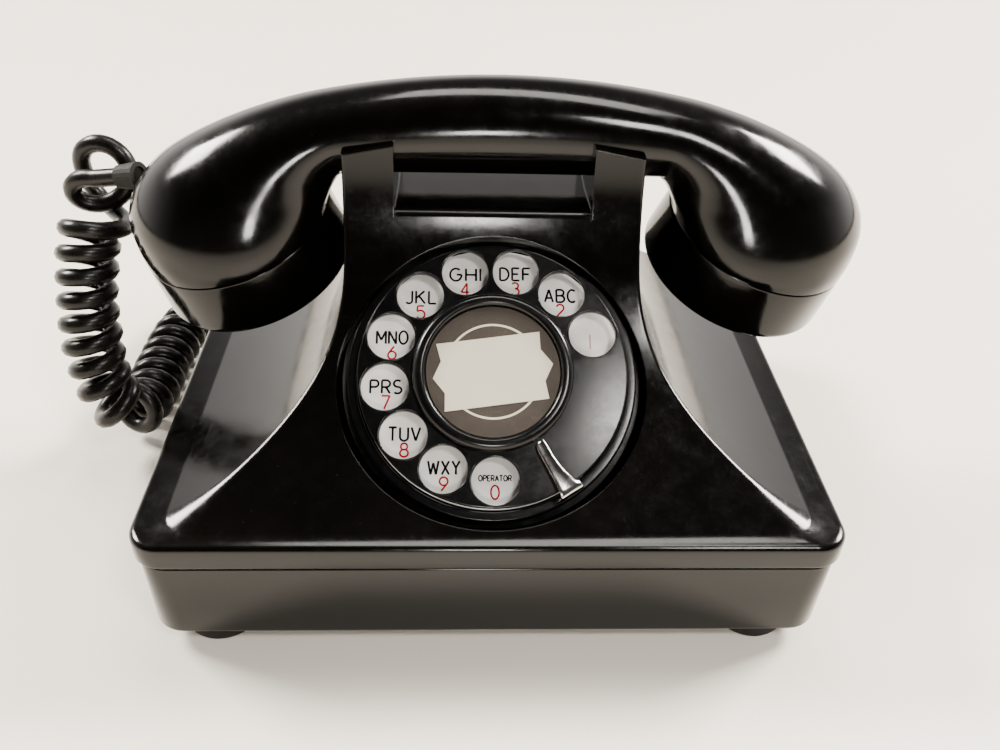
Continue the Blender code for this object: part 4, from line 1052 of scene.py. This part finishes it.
def bridge(start, along_start, end, along_end, pull, steps=24):
    """Smooth curve that leaves one point and meets another in the given directions."""
    points = []
    for i in range(steps + 1):
        t = i / steps
        points.append(start * (2 * t ** 3 - 3 * t ** 2 + 1) + along_start * (pull * (t ** 3 - 2 * t ** 2 + t))
                      + end * (3 * t ** 2 - 2 * t ** 3) + along_end * (pull * (t ** 3 - t ** 2)))
    return points


def rounded_route():
    """The cord's route with its corners eased, so that the coil's inner side never folds."""
    route = smooth_line(cord_route(), 24)
    for _ in range(ROUTE_PASSES):
        eased_route = list(route)
        for i in range(1, len(route) - 1):
            reach = min(ROUTE_REACH, i, len(route) - 1 - i)
            near = route[i - reach:i + reach + 1]
            eased_route[i] = sum(near, Vector((0, 0, 0))) / len(near)
        route = eased_route
    return route


def wound_angles(route, lengths):
    """Angle wound by each route point. The coil opens where the route bends, to keep its inner side clear."""
    angles = [0.0]
    reach = 10
    for i in range(len(route) - 1):
        low = max(0, i - reach)
        high = min(len(route) - 2, i + reach)
        turn = (route[low + 1] - route[low]).angle(route[high + 1] - route[high])
        room = max(0.25, 1 - turn / (lengths[high] - lengths[low]) * (CORD_COIL_R - CORD_R))
        pitch = max(CORD_PITCH, COIL_CLEAR_PITCH / room)
        angles.append(angles[-1] + math.tau * (lengths[i + 1] - lengths[i]) / pitch)
    return angles


def coil_points():
    """A wire wound round the route at full size, short of the leads at both ends."""
    route = rounded_route()
    end = len(route) - 1
    headings = [(route[min(i + 1, end)] - route[max(i - 1, 0)]).normalized() for i in range(len(route))]
    lengths = [0.0]
    for a, b in zip(route, route[1:]):
        lengths.append(lengths[-1] + (b - a).length)
    angles = wound_angles(route, lengths)
    first = COIL_FROM_BASE
    last = lengths[-1] - COIL_FROM_HANDSET
    count = round((last - first) / CORD_PITCH) * TURN_POINTS
    wind_r = CORD_COIL_R - CORD_R
    places = []
    side = Vector((0, 0, 1))
    index = 0
    for i in range(count + 1):
        s = first + (last - first) * i / count
        while index < len(lengths) - 2 and lengths[index + 1] < s:
            index += 1
        part = (s - lengths[index]) / (lengths[index + 1] - lengths[index])
        along = headings[index].lerp(headings[index + 1], part).normalized()
        side = (side - along * side.dot(along)).normalized()
        angle = angles[index] + (angles[index + 1] - angles[index]) * part
        places.append((s, route[index].lerp(route[index + 1], part), along, side.copy(), angle))
    wound = places[-1][4] - places[0][4]
    whole = round((wound - COIL_LAST_ANGLE) / math.tau) * math.tau + COIL_LAST_ANGLE
    points = []
    for s, middle, along, side, angle in places:
        a = (angle - places[0][4]) * whole / wound
        ease = eased(min(s - first, last - s) / COIL_EASE)
        r = wind_r * (1 - ease * COIL_UNEVEN * (1 + math.sin(a * 0.29)))
        points.append(middle + side * (r * math.cos(a)) + along.cross(side) * (r * math.sin(a)))
    return points


def eased(t):
    t = min(1.0, max(0.0, t))
    return t * t * (3 - 2 * t)


def handset_loop(end):
    """One and a quarter slack turns beside the cup, seen nearly face on, that end over the given point."""
    points = []
    for i in range(41):
        t = i / 40
        a = math.radians(180 - 450 * t)
        r = LOOP_R + (LOOP_LAST_R - LOOP_R) * t
        late = eased((t - 0.45) / 0.55)
        x = LOOP_X + (end.x - LOOP_X) * late
        z = LOOP_Z + (end.z - LOOP_LAST_R - LOOP_Z) * late
        points.append(Vector((x + r * math.cos(a), end.y + LOOP_DEPTH * (1 - t), z + r * math.sin(a))))
    return points


def ahead(points, index):
    return (points[index + 1] - points[index]).normalized()


def cord_points():
    """The whole wire: out of the base's bush, into the coil, round a loop and into the handset's bush."""
    start, out = handset_exit()
    bush = Vector((CORD_BUSH_X + BASE_X, BASE_HALF_D + 8 * MM, CORD_BUSH_Z))
    back = Vector((0, 1, 0))
    coil = coil_points()
    loop = handset_loop(start + out * LOOP_REACH)
    into = bridge(bush, back, coil[0], ahead(coil, 0), LEAD_PULL_BASE)
    up = bridge(coil[-1], ahead(coil, -2), loop[0], ahead(loop, 0), LEAD_PULL_LOOP)
    away = bridge(loop[-1], ahead(loop, -2), start + out * (9.5 * MM), -out, LEAD_PULL_HANDSET, 8)
    return [bush - back * (7 * MM)] + into[:-1] + coil + up[1:-1] + loop + away[1:] + [start + out * (2 * MM)]


def make_cord(mats):
    points = cord_points()
    cord = tubes("coiled_cord", [points], CORD_R, 3, mats["cord_rubber"])
    cord.data.shade_smooth()
    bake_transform(cord)
    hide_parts("handset_cord")


# ---- stage

def dress_frame(frame, mats):
    """Procedural finishes for every CAD piece that stays as it is."""
    slots = {part["node"]: part["material_slot"] for part in frame["record"]["subparts"]}
    for name, node in frame["nodes"].items():
        mat = mats[slots[name]]
        node.data.materials.clear()
        node.data.materials.append(mat)
        smooth_shading(node.data)


def make_stage():
    n = material("table_top")
    tint = n.mix(n.ramp(n.noise(3.0, 2.0), 0.3, 0.7), (0.92, 0.850, 0.740), (0.95, 0.880, 0.770))
    mat = n.finish(tint, n.ramp(n.noise(40.0), 0.3, 0.7, 0.45, 0.55))
    corners = [(x * FLOOR_HALF, y * FLOOR_HALF, 0) for x, y in ((-1, -1), (1, -1), (1, 1), (-1, 1))]
    floor = mesh_object("table", corners, [(0, 1, 2, 3)], mat)


def area_light(name, place, target, size, power, colour):
    light = bpy.data.lights.new(name, "AREA")
    light.shape = "RECTANGLE"
    light.size = size[0]
    light.size_y = size[1]
    light.energy = power
    light.color = colour
    obj = link_object(name, light)
    obj.location = place
    obj.rotation_euler = (Vector(target) - Vector(place)).to_track_quat("-Z", "Y").to_euler()


def make_world():
    """Bright low backdrop behind and beside the set, with a dim ceiling and a dim room in front."""
    world = bpy.data.worlds.new("studio")
    n = Nodes(world, "Background", "Generated")
    parts = n.add("ShaderNodeSeparateXYZ", {"Vector": n.place}).outputs
    low = n.ramp(parts["Z"], 0.10, 0.60, 1.0, 0.10, "SMOOTHSTEP")
    behind = n.ramp(parts["Y"], -0.55, 0.40, 0.05, 1.0, "SMOOTHSTEP")
    n.feed((1.0, 0.955, 0.90), n.shader.inputs["Color"])
    n.feed(n.times(n.times(low, behind), WORLD_LIGHT), n.shader.inputs["Strength"])
    bpy.context.scene.world = world


def make_lights():
    make_world()
    aim = (0, 0, 0.05)
    area_light("back_left", (-1.35, 0.65, 1.15), (-0.1, 0, 0), (0.60, 0.40), 80.0, (1.0, 0.955, 0.89))
    area_light("back_right", (1.35, 0.65, 1.15), (0.1, 0, 0), (0.60, 0.40), 96.0, (1.0, 0.955, 0.89))
    area_light("overhead", (0.12, 0.30, 1.20), aim, (0.85, 0.30), 11.0, (1.0, 0.96, 0.90))
    area_light("front_right", (0.42, -0.66, 1.05), aim, (0.24, 0.22), 9.0, (1.0, 0.96, 0.91))
    area_light("front", (0.0, -0.34, 0.165), (0, 0, 0.10), (0.045, 0.045), 0.5, (1.0, 0.96, 0.92))


def make_camera():
    flat = math.cos(CAMERA_PITCH)
    forward = Vector((math.sin(CAMERA_YAW) * flat, math.cos(CAMERA_YAW) * flat, -math.sin(CAMERA_PITCH)))
    level = Vector((math.cos(CAMERA_YAW), -math.sin(CAMERA_YAW), 0))
    upward = level.cross(forward)
    right = level * math.cos(CAMERA_ROLL) + upward * math.sin(CAMERA_ROLL)
    data = bpy.data.cameras.new("camera")
    data.lens = CAMERA_LENS
    data.sensor_width = 36.0
    camera = link_object("camera", data)
    camera.matrix_world = frame_matrix(CAMERA_AT, -forward, right)
    bpy.context.scene.camera = camera


def main():
    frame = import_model()
    mats = make_materials()
    make_camera()
    dress_frame(frame, mats)
    make_cord(mats)
    make_cover(mats)
    make_tray(mats)
    make_feet(mats)
    make_dial(mats)
    make_handset(mats)
    make_stage()
    make_lights()


main()
